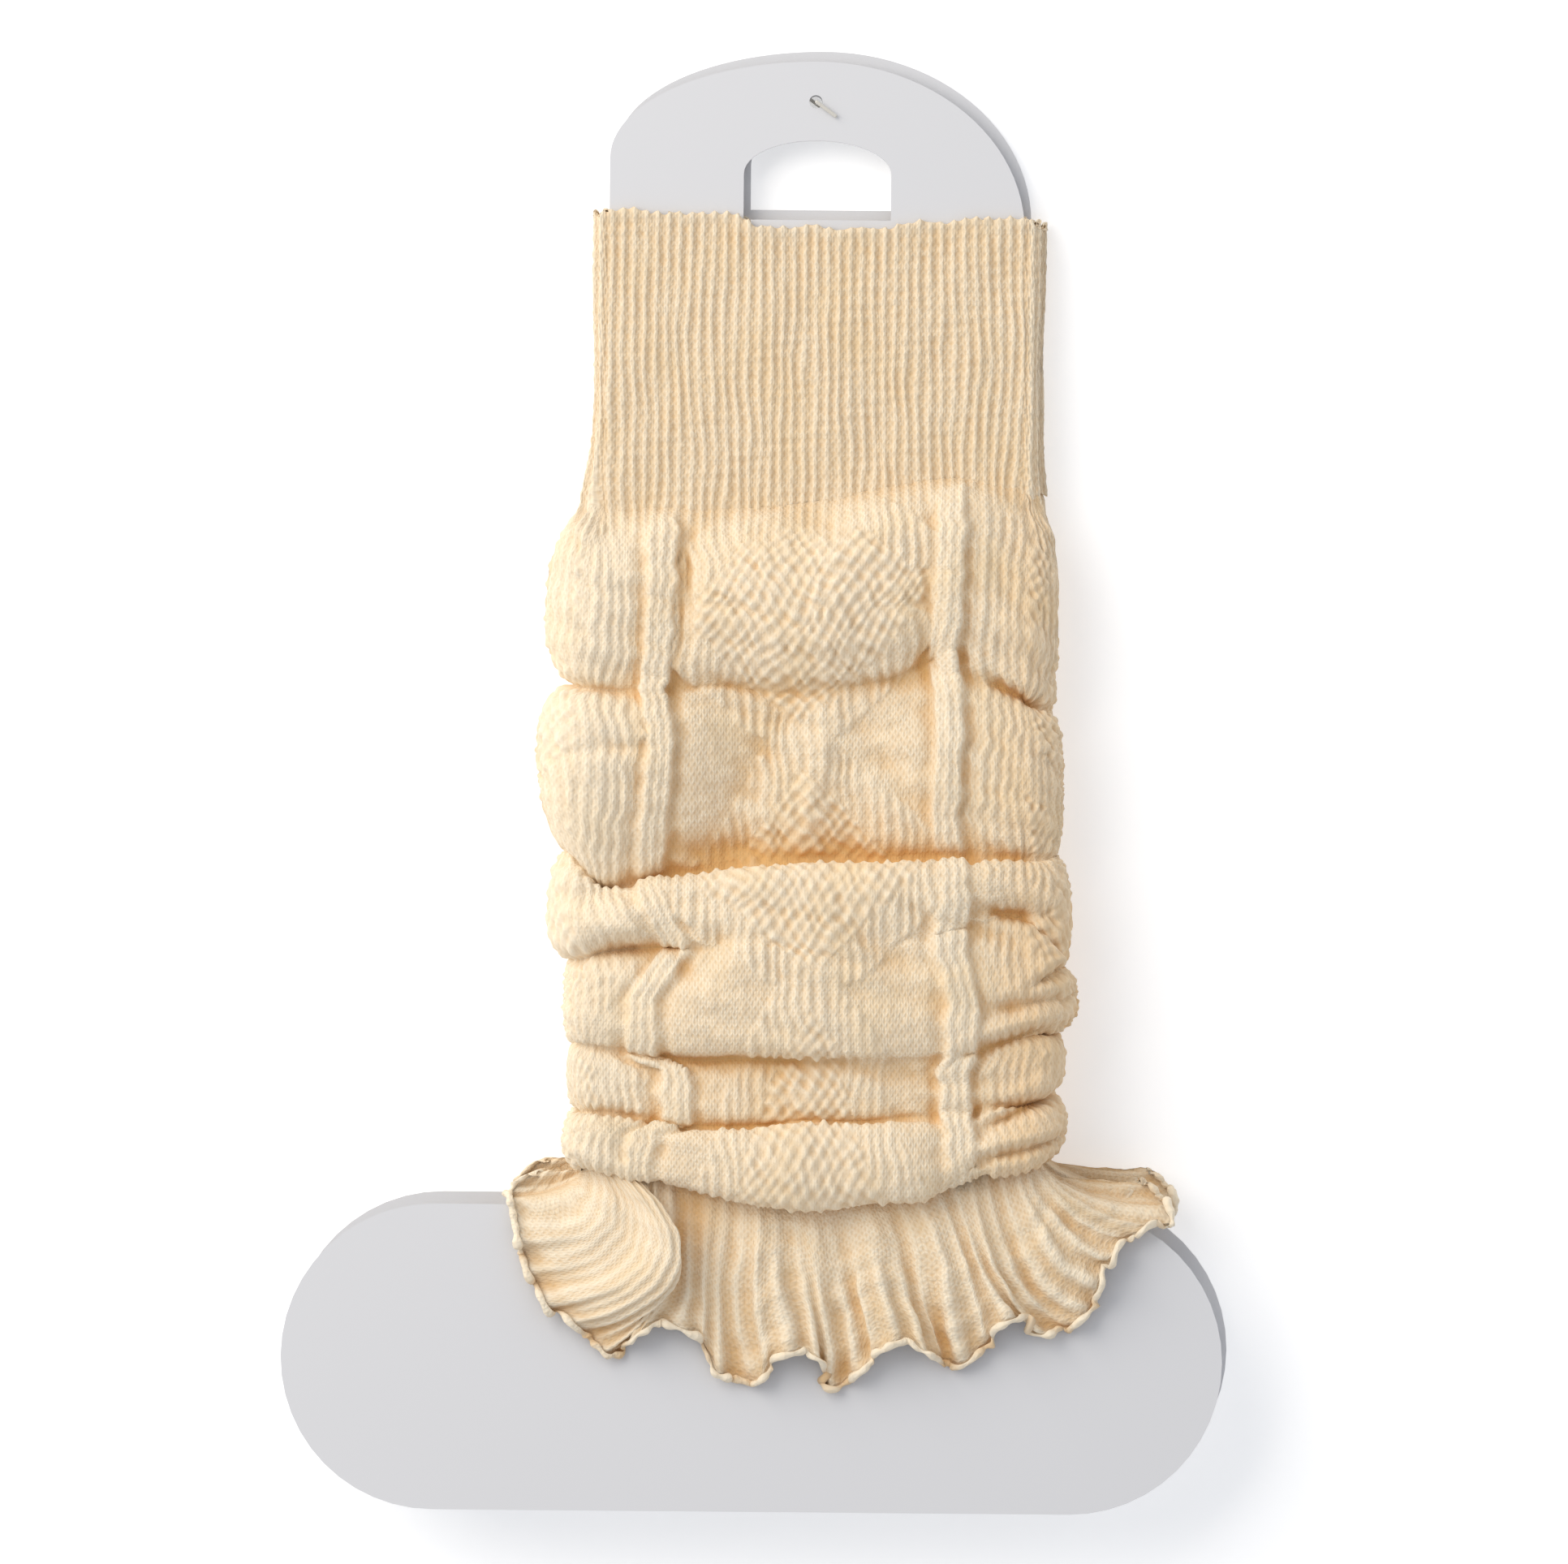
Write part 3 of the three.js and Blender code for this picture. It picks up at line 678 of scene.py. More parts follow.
def body_piece(card, front_columns, back_columns, courses):
    """One leg warmer's body, and the length of cloth down it in millimetres."""
    turn = turns_for(front_columns, back_columns)
    grid_turn = np.broadcast_to(turn, (courses, len(turn)))
    y, h = roll_path(card, turn, 40)
    y, h = blurred(y, 1.6, 0), blurred(h, 1.8, 0)
    (y, h), v = course_places((y, h), courses)
    at_x, out, up = round_the_card(grid_turn)
    u = unwrapped(turn)[None, :] * GIRTH
    v = np.broadcast_to(v[:, None], h.shape)
    course = float(v[1, 0] - v[0, 0])
    y, h = bridged(y, h, v, grid_turn, course)
    # small folds and unevenness, on the free front and a little at the sides
    at_side = (1 - np.abs(up)) ** 2
    free = np.clip(1.2 * up + 0.35, 0, 1) if card is FRONT else 0.15 + 0.6 * at_side
    place_x = at_x + out * h
    h = h + free * crease_relief(place_x, y)
    loose = free * smooth(v / 8)
    h = h + loose * (0.75 * uneven(u, v, 26, 4) + 0.5 * uneven(u, 1.4 * v, 11, 9))
    y = y + loose * 0.8 * uneven(u, v, 34, 15)
    # the room it has, and the tuck of its shoulders under the cuff
    high = pressed(h, room(card, y, up), BODY_THICK)
    high = np.maximum(high, CARD_THICK / 2 + CLEAR + 0.9)
    under_cuff = (1 - smooth((v - 2) / 8)) * smooth(2.5 * np.abs(out))
    high = mix(high, np.minimum(high, CUFF_HEIGHT), under_cuff)
    points = lay(card, at_x + out * h * card["side"], y, up * high)
    # the stitches, flatter where a fold turns sharply; the cuff's ribs run into them at the top
    height, seed, column, knot, dip = pattern(grid_turn, v, y)
    height = height * (1 - 0.7 * np.clip(np.abs(h - blurred(h, 4.5 / course, 0)) / 2.2, 0, 1))
    full = 1.0 if card is FRONT else 0.25 + 0.65 * at_side
    knit_on = smooth((v - 3 + 3 * uneven(u, v, 12, 17) + 7 * column) / 16)
    ribs = cuff_ribs(grid_turn, u, y, 1.0)[1]
    relief = mix(full * (0.75 * ribs - 0.25), full * height, knit_on) + 0.16 * full * uneven(u, v, 3.0, 61)
    points = points + facing(points) * relief[..., None] * MM
    # painted highlight on the tops of the ribs and stitches; painted shade between them and in the folds
    masks = masks_from(points, seed * knit_on, mix(ribs, column, knit_on),
                       mix(0.4 * smooth(2 * (ribs - 0.45)), 0.35 * smooth(2 * height - 2.2), knit_on),
                       dip=mix(0.2 + 0.6 * (1 - ribs), dip, knit_on), knot=knot)
    masks = adjust_painted_shading(masks, grid_turn, y, v)
    piece = cloth_mesh(card["name"] + "_body_knit", points, np.broadcast_to(u, h.shape), v, masks)
    return piece, float(v[-1, 0])


front_body, front_body_length = body_piece(FRONT, 268, 30, 318)
rear_body, rear_body_length = body_piece(REAR, 100, 44, 150)
print(f"cloth down the body: front {front_body_length:.0f} mm, rear {rear_body_length:.0f} mm")

# %% [markdown]
# The cloth is a sheet without thickness here, so its raw edge would show as a sharp line. A real
# knitted edge is soft and round. The Solidify modifier would give it thickness, but with a square
# edge; turning the last course over in a small circle gives the round one and costs little.

# %% Turn an edge over
EDGE_ANGLES = (35, 75, 115, 155, 180)
LIP_ANGLES = (30, 70, 110, 150, 190, 230, 270)


def rolled_edge(points, masks, v, radius, first=True, angles=EDGE_ANGLES, way=1, swell=1.0):
    """Turn a grid's first or last course over in a small circle, inwards, or outwards (way -1)."""
    round_ = np.broadcast_to(radius * MM * swell, points.shape[1:2])[:, None]
    edge = 0 if first else -1
    inner = 1 if first else -2
    normal = facing(points)[edge]
    outward = points[edge] - points[inner]
    outward /= np.maximum(np.linalg.norm(outward, axis=-1, keepdims=True), 1e-12)
    curl = []
    for angle in angles:
        a = math.radians(angle)
        curl.append(points[edge] + round_ * (math.sin(a) * outward - way * (1 - math.cos(a)) * normal))
    curl = np.array(curl[::-1] if first else curl)

    def joined(extra, grid):
        return np.concatenate([extra, grid] if first else [grid, extra])

    masks = {k: np.broadcast_to(m, v.shape) for k, m in masks.items()}
    masks = {k: joined(np.repeat(m[[edge]], len(angles), axis=0), m) for k, m in masks.items()}
    steps = radius * np.radians(angles[::-1] if first else angles)[:, None]
    return joined(curl, points), masks, joined(v[[edge]] + steps * (1 if first else -1), v)


print(f"a plain edge turns over by {EDGE_ANGLES[-1]} degrees, the frill's lip by {LIP_ANGLES[-1]}")

# %% [markdown]
# The cuff stands nearly straight up the card. On the real one the cast-off edge is left fluffy
# and each rib ends in its own small point, so the top edge is scalloped, leans out a little and
# is turned over to show its thickness.

# %% Shape the cuff
CUFF_THICK = 1.0
CUFF_EDGE = 0.8  # the radius of its turned-over edge


def cuff_piece(card, front_columns, back_columns, courses):
    """One leg warmer's cuff, from its scalloped top down to where the body begins."""
    turn = turns_for(front_columns, back_columns)
    grid_turn = np.broadcast_to(turn, (courses, len(turn)))
    down = np.linspace(0, 1, courses)[:, None]
    at_x, out, up = round_the_card(grid_turn)
    u = unwrapped(turn)[None, :] * GIRTH
    crown = np.cos(2 * math.pi * rib_at(grid_turn))
    top = card["cuff_top"] - 1.6 * (1 - (at_x / LEG_HALF) ** 2) - 1.4 * smooth((np.abs(out) - 0.2) / 0.6)
    top = top + 3.0 * smooth((-at_x - 13) / 12) + 1.4 * smooth((at_x - 18) / 16)
    top = top + 0.3 * crown + 0.6 * uneven(u, 0 * u, 9, 21) + 0.4 * uneven(u, 0 * u, 4, 22)
    bottom = across(JOIN_Y, turn) - 0.8
    y = mix(top, bottom, down)
    rib, ribs = cuff_ribs(grid_turn, u, y, smooth(1.2 * down + 0.2))
    rib_u = (rib + np.round(unwrapped(turn) - turn) * CUFF_RIBS) * 2 * WALE
    fluff = bell(y - top, 2.2)
    h = mix(CUFF_HEIGHT, CUFF_HEIGHT + 0.5, np.sin(math.pi * down)) + 0.5 * fluff
    flare = np.where(grid_turn < 0, 3.4, 0.8) * bell(y - 70, 13)
    side_h = JOIN_HEIGHT["side"] - 0.3 - 0.6 * bell(y - 105, 22) + flare * smooth(np.abs(out) * 2 - 0.4)
    high = pressed(h, room(card, y, up), CUFF_THICK)
    points = lay(card, at_x + out * side_h, y, up * high)
    # the ribs, softer on the flanks and flatter at the back
    flank = smooth((np.abs(out) - 0.05) / 0.5)
    amount = (1.0 if card is FRONT else 0.4) * np.where(up < 0, 0.3, 1.0) * (1 - 0.3 * flank)
    amount = amount * (0.68 + 0.3 * uneven(u, y, 14, 35))
    relief = 0.85 * amount * (ribs - 0.3) * (1 - 0.3 * fluff) + 0.3 * uneven(u, y, 22, 34)
    relief = relief + 0.13 * uneven(u, y, 5, 33) + 0.2 * uneven(u, y, 2.6, 36)
    points = points + facing(points) * relief[..., None] * MM
    # painted highlight on the rib tops, the fluffy top edge and the flanks; painted shade between the ribs
    painted_highlight = 0.3 * smooth(2 * (ribs - 0.45)) * (1 + 0.7 * uneven(u, y, 2.8, 37)) + 0.45 * fluff + 0.25 * flank
    masks = masks_from(points, 0 * h, ribs, np.clip(painted_highlight, 0, 1),
                       dip=0.25 + 0.55 * (1 - ribs) * (1 - 0.4 * flank))
    points, masks, v = rolled_edge(points, masks, y, CUFF_EDGE)
    stitch_u = np.vstack([rib_u[:1]] * len(EDGE_ANGLES) + [rib_u])
    return cloth_mesh(card["name"] + "_cuff_knit", points, stitch_u, v, masks)


front_cuff = cuff_piece(FRONT, 430, 60, 100)
rear_cuff = cuff_piece(REAR, 260, 90, 40)

# %% [markdown]
# The frill is a ring of rib that is knitted with more and more stitches, so its edge is far too
# long for its width and stands up in ruffles. A maker calls the thin, curled edge a lettuce edge.
# Waves from a sum would look like a machine's, and a real hem's are all different, so they are
# placed: one table gives the edge of the front half and one that of the back, where each ruffle's
# ridge and trough reach, and how high off the card they stand.

# %% The frill's tables
FRONT_HEM = np.array([
    # part of the half turn, across the leg, along the leg, off the card
    (0.000, -79.5, -111.8, 3.0),
    (0.036, -77.8, -121.1, 4.5),
    (0.075, -75.2, -130.0, 2.6),
    (0.119, -69.6, -140.0, 4.2),
    (0.154, -62.0, -145.4, 4.0),
    (0.202, -51.8, -152.7, 1.8),
    (0.225, -47.0, -150.0, 4.2),
    (0.250, -42.6, -145.8, 7.5),
    (0.277, -36.0, -145.6, 7.0),
    (0.305, -30.0, -148.4, 4.8),
    (0.350, -23.0, -159.0, 2.0),
    (0.390, -13.2, -160.8, 2.2),
    (0.417, -9.6, -155.8, 6.0),
    (0.442, -4.2, -152.6, 8.0),
    (0.464, 1.2, -152.8, 7.2),
    (0.506, 6.4, -161.8, 1.6),
    (0.548, 15.6, -157.0, 4.0),
    (0.573, 19.0, -152.5, 7.0),
    (0.597, 24.6, -149.9, 8.2),
    (0.620, 30.2, -151.4, 7.0),
    (0.655, 36.4, -155.8, 2.2),
    (0.703, 47.1, -150.6, 4.5),
    (0.739, 52.8, -143.4, 7.8),
    (0.788, 63.4, -146.9, 2.6),
    (0.835, 73.6, -142.0, 3.6),
    (0.890, 79.6, -127.6, 7.2),
    (0.932, 86.6, -120.2, 4.8),
    (0.970, 96.5, -117.4, 4.8),
    (1.000, 95.2, -112.9, 4.0),
])
BACK_HEM = np.array([
    (0.00, -81.0, -112.0, 2.5),
    (0.06, -72.0, -104.5, 2.5),
    (0.14, -66.0, -118.0, 3.5),
    (0.24, -50.0, -150.5, 2.5),
    (0.34, -28.0, -153.0, 2.0),
    (0.44, -3.0, -158.0, 2.5),
    (0.54, 14.0, -157.0, 2.0),
    (0.64, 33.0, -156.5, 2.5),
    (0.74, 55.0, -147.0, 2.5),
    (0.84, 76.0, -129.0, 2.5),
    (0.92, 88.0, -107.0, 3.0),
    (1.00, 95.2, -112.9, 3.5),
])
CURLS = [
    # a lobe that rolls over sideways: its place, how wide before and after it, how far it leans
    # and how high it stands, and how far down its fullest point is
    dict(name="left_curl", at=0.155, before=0.075, after=0.046, lean=21.0, height=8.5, down=0.46),
    dict(name="left_inner", at=0.06, before=0.05, after=0.06, lean=7.0, height=1.5, down=0.5),
    dict(name="pocket", at=0.30, before=0.03, after=0.045, lean=0.0, height=-3.0, down=0.35),
    dict(name="right_fold", at=0.70, before=0.045, after=0.045, lean=2.0, height=1.8, down=0.5),
]
print(f"hem: {len(FRONT_HEM)} places in front, {len(BACK_HEM)} behind, and {len(CURLS)} curls")

# %% [markdown]
# Between the body and the hem the cloth fans out, and rises and dips more and more, so that the
# ruffles grow towards the hem. Its ribs are shallow at the body and bold at the hem, and seven
# more are fitted in at the left, where it spreads the most. The lip is turned over outwards by
# three quarters of a circle, and is a little thicker and thinner by turns.

# %% Shape the frill
FRILL_RIBS = 66
EXTRA_RIBS = 7
FRILL_LENGTH = 58.0  # down the cloth, for its stitches
FRILL_THICK = 0.8
LIP_RADIUS = 0.95


def curled(part, back, down):
    """How far the curls lean sideways and how high they stand, at each place of the frill."""
    lean = np.zeros_like(part)
    rise = np.zeros_like(part)
    for curl in CURLS:
        past = part - curl["at"]
        lobe = bell(past, np.where(past < 0, curl["before"], curl["after"])) * np.where(back, 0.0, 1.0)
        swell = np.sin(math.pi * np.clip(down, 0, 1) ** (math.log(0.5) / math.log(curl["down"])))
        lean = lean + curl["lean"] * lobe * swell
        rise = rise + curl["height"] * lobe * swell
    return lean, rise


def frill_piece(card, front_columns, back_columns, courses):
    """One leg warmer's frill, from the foot of the body's last roll to its curled lip."""
    turn = turns_for(front_columns, back_columns, 0.26)
    grid_turn = np.broadcast_to(turn, (courses, len(turn)))
    down = np.linspace(0, 1, courses)[:, None]
    at_x, out, up = round_the_card(grid_turn)
    u = unwrapped(turn)[None, :] * GIRTH
    # where it leaves the body, and where its hem reaches
    last = ROLLS[-1]
    free = looseness(card, up)
    root_y = across(last["foot"], grid_turn) + (last["under"] + 1.6) * free
    root_h = across(last["floor"], grid_turn) - 0.5
    root_x = at_x + out * root_h * card["side"]
    back = np.abs(grid_turn) > 0.25
    folded = np.where(back, np.sign(grid_turn) * (0.5 - np.abs(grid_turn)), grid_turn)
    part = np.clip(2 * (folded + 0.25), 0, 1)
    hem_x, hem_y, lift = (
        np.where(back, through(BACK_HEM[:, 0], BACK_HEM[:, k], part),
                 through(FRONT_HEM[:, 0], FRONT_HEM[:, k], part)) for k in (1, 2, 3))
    # the way between them
    sideways = np.abs(np.sin(folded * 2 * math.pi)) ** 3
    outward = mix(down, down ** 1.5, sideways)
    downward = mix(down, 1 - (1 - down) ** 1.9, sideways)
    ruffle = down ** 1.7
    lean, rise = curled(part, back, down)
    x = mix(root_x, hem_x, outward) + lean
    y = mix(root_y, hem_y, downward)
    # pleats half way down, and fine ripples at the hem
    arch = 2.8 * np.sin(math.pi * down ** 0.8) * free
    fine = np.sin(2 * math.pi * grid_turn * 46 + 2.2 * np.sin(2 * math.pi * grid_turn * 5))
    fine = fine * np.where(back, 0.25, 1)
    pleat = 1.3 * free * np.sin(2 * math.pi * folded * 22 + 1.5) * np.sin(math.pi * down ** 0.8)
    h = mix(root_h, lift, ruffle) + arch + rise + pleat + 1.5 * fine * down ** 5
    h = h + 0.5 * uneven(u, 60 * down, 16, 51) * down
    y = y - 0.55 * fine * down ** 6
    # the room it has
    if card is REAR:
        high = pressed(h, room(card, y, up), FRILL_THICK)
    else:
        high = np.where(up > 0, h, np.minimum(h, room(card, y, -1 + 0 * up) - FRILL_THICK))
    high = np.maximum(high, CARD_THICK / 2 + 0.75)
    spread = np.sign(up) * np.abs(up) ** mix(1.0, 0.4, np.clip(3 * down, 0, 1))
    points = lay(card, x, y, spread * high)
    points = blurred(points, 0.7, 1.0)
    # the ribs: which one each place is on, and how bold it stands there
    closer = np.where(back & (grid_turn < 0), 1.0, smooth((0.24 - part) / 0.24))
    flap = smooth((0.18 - part) / 0.07) * np.where(back, 0, 1)
    rib = grid_turn * FRILL_RIBS - EXTRA_RIBS * closer + (0.22 + 0.2 * flap) * uneven(u, 50 * down, 30, 52)
    rib = rib + (0.04 + 0.1 * flap) * uneven(u, 50 * down, 9, 57)
    rib_u = (rib + np.round(unwrapped(turn) - turn) * (FRILL_RIBS + EXTRA_RIBS)) * 3 * WALE
    ribs = np.abs(np.cos(math.pi * rib)) ** (2.6 + 1.0 * uneven(u, 30 * down, 22, 54))
    plain = bell(part - 0.57, 0.12) * np.where(back, 0, 1)
    ease = mix(0.5 + 0.5 * smooth(3 * down + 0.8 * uneven(u, 90 * down, 60, 53)),
               smooth((down - 0.36) / 0.22), plain)
    tucked = smooth((part - 0.9) / 0.06)
    bold = (1 - 0.4 * closer) * (1 - 0.68 * flap) * (1 - 0.65 * tucked)
    bold = bold * (1 + 0.55 * smooth((part - 0.5) / 0.15)) * (1 + 0.3 * uneven(u, 40 * down, 18, 58))
    relief = (0.95 + 0.5 * down) * bold * ease * (ribs - 0.35) * smooth(8 * (1 - down) + 0.2)
    relief = relief + 0.16 * uneven(u, 60 * down, 3.2, 55) + 0.25 * uneven(u, 60 * down, 9, 56)
    relief = relief * smooth(3.5 * np.abs(up) + 0.1)
    points = points + facing(points) * relief[..., None] * MM
    # what the yarn is told: a painted highlight on the lip and rib tops, and painted shade in the grooves,
    # the tucked end, under the lip and in one pocket
    edge = bell(1 - down, 0.03)
    groove = ease * (1 - ribs) * (1 - 0.6 * tucked) * (1 - 0.75 * flap)
    dip = (0.35 + 0.35 * smooth((down - 0.35) / 0.3)) * groove + 0.03 + 0.4 * tucked
    masks = masks_from(points, 0 * h, ribs * (1 - edge) + 0 * h,
                       np.clip(edge + 0.5 * ease * ribs, 0, 1) + 0 * h,
                       dip=dip * (1 - edge) + 0.4 * bell(down - 0.94, 0.025))
    # a painted shadow beside the left curl, and painted shade where the frill leaves the body
    shadow = bell(part - 0.305, 0.03) * bell(down - 0.22, 0.2) * np.where(back, 0, 1)
    masks["pocket"] = np.clip(masks["pocket"] + 0.6 * shadow + 0.2 * bell(down, 0.12), 0, 1)
    v = np.broadcast_to(-down * FRILL_LENGTH, h.shape)
    knobs = 1 + 0.3 * uneven(u[0], 0, 5.0, 59) + 0.3 * uneven(u[0], 0, 1.8, 60)
    points, masks, v = rolled_edge(points, masks, v, LIP_RADIUS, first=False, angles=LIP_ANGLES, way=-1,
                                   swell=np.clip(knobs, 0.45, 1.5))
    stitch_u = np.vstack([rib_u] + [rib_u[-1:]] * len(LIP_ANGLES))
    return cloth_mesh(card["name"] + "_frill_knit", points, stitch_u, v, masks)


front_frill = frill_piece(FRONT, 470, 170, 78)
rear_frill = frill_piece(REAR, 200, 120, 34)

# %% [markdown]
# A surface is a small network of nodes. One function turns the hex colours that a maker would pick
# into the linear numbers that light is worked out in, and one adds a node with its settings and
# its links. Nothing more is needed for every finish here.

# %% Helpers for finishes


def linear(colour):
    """An sRGB hex colour as linear red, green, blue and full opacity."""
    parts = [int(colour[i:i + 2], 16) / 255 for i in (1, 3, 5)]
    return [p / 12.92 if p <= 0.04045 else ((p + 0.055) / 1.055) ** 2.4 for p in parts] + [1.0]


def add(tree, kind, links=None, **settings):
    """A node of a kind, its sockets set or linked by name or place, and its other settings."""
    node = tree.nodes.new("ShaderNode" + kind)
    for key, value in settings.items():
        setattr(node, key, value)
    for place, value in (links or {}).items():
        socket = node.inputs[place]
        if isinstance(value, bpy.types.NodeSocket):
            tree.links.new(value, socket)
        else:
            socket.default_value = value
    return node


def finish_named(name):
    """An empty material with its surface node, ready to be linked."""
    material = bpy.data.materials.new(name)
    material.use_nodes = True
    tree = material.node_tree
    tree.nodes.clear()
    surface = add(tree, "BsdfPrincipled")
    add(tree, "OutputMaterial", {"Surface": surface.outputs["BSDF"]})
    return material, tree, surface


print("cream yarn, linear:", [round(part, 3) for part in linear("#FDEFD6")])

# %% [markdown]
# The yarn is a soft, loosely spun wool and acrylic blend in cream, knitted on a fine machine. The
# stitches follow the cloth: each wale is a column of small V shapes 1.5 mm wide, each course is
# 1.2 mm high, and small holes show between the turned loops of the plain ground. An image could
# carry them, but they are worked out from the stitch coordinates instead, so they bend with every
# fold and stay sharp. The sums are a table: each row adds one node. No two stitches are pulled
# alike, so each draws its own height by chance.

# %% The stitches as a table of sums
STITCH_SUMS = [
    # name, sum, and what it is worked out from: plain numbers, or results by name
    ("astray", "SUBTRACT", "wander", 0.5),
    ("across", "MULTIPLY_ADD", "astray", 1.1, "along_course"),
    ("wale", "DIVIDE", "across", WALE),
    ("wale_edge", "ADD", "wale", 0.5),
    ("in_wale", "FRACT", "wale_edge"),
    ("off_middle", "SUBTRACT", "in_wale", 0.5),
    ("to_side", "ABSOLUTE", "off_middle"),
    ("leg", "MULTIPLY", "to_side", 2.0),
    ("flat_course", "DIVIDE", "along_wale", COURSE),
    ("course", "MULTIPLY_ADD", "leg", 0.55, "flat_course"),
    ("leg_angle", "MULTIPLY", "leg", math.pi),
    ("leg_wave", "SINE", "leg_angle"),
    ("leg_top", "MAXIMUM", "leg_wave", 0.0),
    ("lobe", "POWER", "leg_top", 0.6),
    ("course_angle", "MULTIPLY", "course", 2 * math.pi),
    ("course_wave", "COSINE", "course_angle"),
    ("loop", "MULTIPLY_ADD", "course_wave", 0.5, 0.5),
    ("loop_top", "MULTIPLY_ADD", "loop", 0.5, 0.5),
    ("even_legs", "MULTIPLY", "lobe", "loop_top"),
    ("turned_angle", "MULTIPLY", "along_wale", math.pi / COURSE),
    ("turned", "COSINE", "turned_angle"),
    ("wale_angle", "MULTIPLY", "wale", 2 * math.pi),
    ("wale_wave", "COSINE", "wale_angle"),
    ("holes", "MULTIPLY", "wale_wave", "turned"),
    ("wale_number", "FLOOR", "wale_edge"),
    ("course_number", "FLOOR", "course"),
]
HEIGHT_SUMS = [
    # each stitch draws its own height, from 0.4 to 1.4 of the even one
    ("pulled", "MULTIPLY_ADD", "chance", 1.0, 0.4),
    ("legs", "MULTIPLY", "even_legs", "pulled"),
    ("ground", "MULTIPLY_ADD", "legs", 0.6, 0.22),
    ("stitch", "MULTIPLY_ADD", "holes", -0.3, "ground"),
    # rib stands higher, seed stitch is mostly its knots, and the fuzz lies over both
    ("calmer", "MULTIPLY_ADD", "column", -0.1, 1.0),
    ("plain", "MULTIPLY", "stitch", "calmer"),
    ("rib", "MULTIPLY_ADD", "column", 0.3, "plain"),
    ("small", "MULTIPLY", "stitch", 0.4),
    ("moss", "MULTIPLY_ADD", "knot", 0.7, "small"),
    ("moss_over_rib", "SUBTRACT", "moss", "rib"),
    ("knit", "MULTIPLY_ADD", "moss_over_rib", "seed_stitch", "rib"),
    ("lowered", "SUBTRACT", "knit", 0.1),
    ("height", "MULTIPLY_ADD", "fuzz", 0.6, "lowered"),
    # how much of each tint: painted light by stitch height, random warmth, painted highlight, painted shade
    ("light", "MULTIPLY_ADD", "height", 0.6, 0.17),
    ("warmth", "SUBTRACT", "cloud", 0.45),
    ("highlight_share", "MULTIPLY", "painted_highlight", 0.7),
    ("painted_groove_shade", "MULTIPLY", "dip", 0.42),
    ("painted_pocket_shade", "MULTIPLY", "pocket", 0.9),
]
print("sums for the stitches:", len(STITCH_SUMS) + len(HEIGHT_SUMS))

# %% [markdown]
# The yarn is cream. Tan is painted shade: it darkens the root of each stitch, and, warmer, the
# grooves between the ribs and the pockets of the folds, as light that goes down there comes back
# warmer. The tops of the ribs, one flank and the lip take a painted highlight. Loose fibres are
# too fine to build; they show as fuzz, drawn about 1 mm coarse so that it can be seen, and as a
# sheen. Wool has a low shine and an IOR of about 1.54.

# %% Cream wool-blend yarn
NOISES = [
    # name, waves to a millimetre, detail and roughness
    ("wander", 0.12, 2.0, 0.5),
    ("fuzz", 0.9, 3.0, 0.65),
    ("cloud", 0.05, 2.0, 0.5),
]
# painted shade at the root of a stitch, which the tints below are laid over
STITCH_ROOT_SHADE = "#DDBA8A"
TINTS = [
    ("#FDEFD6", "light"),
    ("#F0D2A0", "warmth"),
    ("#FBEFD8", "highlight_share"),
    ("#CFAC7B", "painted_groove_shade"),
    ("#DBAC6A", "painted_pocket_shade"),
]


def knitted_yarn():
    """The yarn of all six pieces, made from their stitch coordinates and masks."""
    material, tree, surface = finish_named("cream wool-blend knit")
    where = add(tree, "UVMap", uv_map="stitches").outputs["UV"]
    parts = add(tree, "SeparateXYZ", {0: where}).outputs
    known = dict(along_course=parts["X"], along_wale=parts["Y"])
    for name, scale, detail, roughness in NOISES:
        sockets = {"Vector": where, "Scale": scale, "Detail": detail, "Roughness": roughness}
        known[name] = add(tree, "TexNoise", sockets, noise_dimensions="2D").outputs["Fac"]
    for mask in ("pocket", "painted_highlight", "column", "dip", "seed_stitch", "knot"):
        known[mask] = add(tree, "Attribute", attribute_name=mask).outputs["Fac"]
    dice = add(tree, "TexWhiteNoise", noise_dimensions="2D")
    known["chance"] = dice.outputs["Value"]
    for name, operation, *terms in STITCH_SUMS + HEIGHT_SUMS:
        sockets = {place: known.get(term, term) for place, term in enumerate(terms)}
        known[name] = add(tree, "Math", sockets, operation=operation).outputs[0]
    stitch = add(tree, "CombineXYZ", {0: known["wale_number"], 1: known["course_number"]})
    tree.links.new(stitch.outputs[0], dice.inputs["Vector"])
    colour = linear(STITCH_ROOT_SHADE)
    for tint, share in TINTS:
        sockets = {0: known[share], 6: colour, 7: linear(tint)}
        colour = add(tree, "Mix", sockets, data_type="RGBA", blend_type="MIX").outputs[2]
    bump = add(tree, "Bump", {"Height": known["height"], "Strength": 0.34, "Distance": 0.8 * MM})
    tree.links.new(colour, surface.inputs["Base Color"])
    tree.links.new(bump.outputs["Normal"], surface.inputs["Normal"])
    surface.inputs["Roughness"].default_value = 0.9
    surface.inputs["IOR"].default_value = 1.54
    surface.inputs["Specular IOR Level"].default_value = 0.25
    surface.inputs["Sheen Weight"].default_value = 0.35
    surface.inputs["Sheen Roughness"].default_value = 0.5
    surface.inputs["Sheen Tint"].default_value = linear("#FFF2DC")
    return material


yarn = knitted_yarn()
print("yarn:", len(yarn.node_tree.nodes), "nodes")

# %% [markdown]
# The cards are die-cut polypropylene sheet, 1 mm thick, white with a cool cast. Rolled sheet has a
# satin skin with a very faint grain, so it reads as soft plastic and not as paper. The real grain
# is finer than can be seen at this size, so it is drawn about 1 mm coarse, and shallow. The IOR of
# polypropylene is 1.49. The tag pin is moulded nylon, IOR 1.53, which is milky and a little
# see-through. The two differ by a few numbers only, so one function makes both.

# %% White polypropylene sheet and moulded nylon
CLOUDS_TO_A_METRE = 14.0


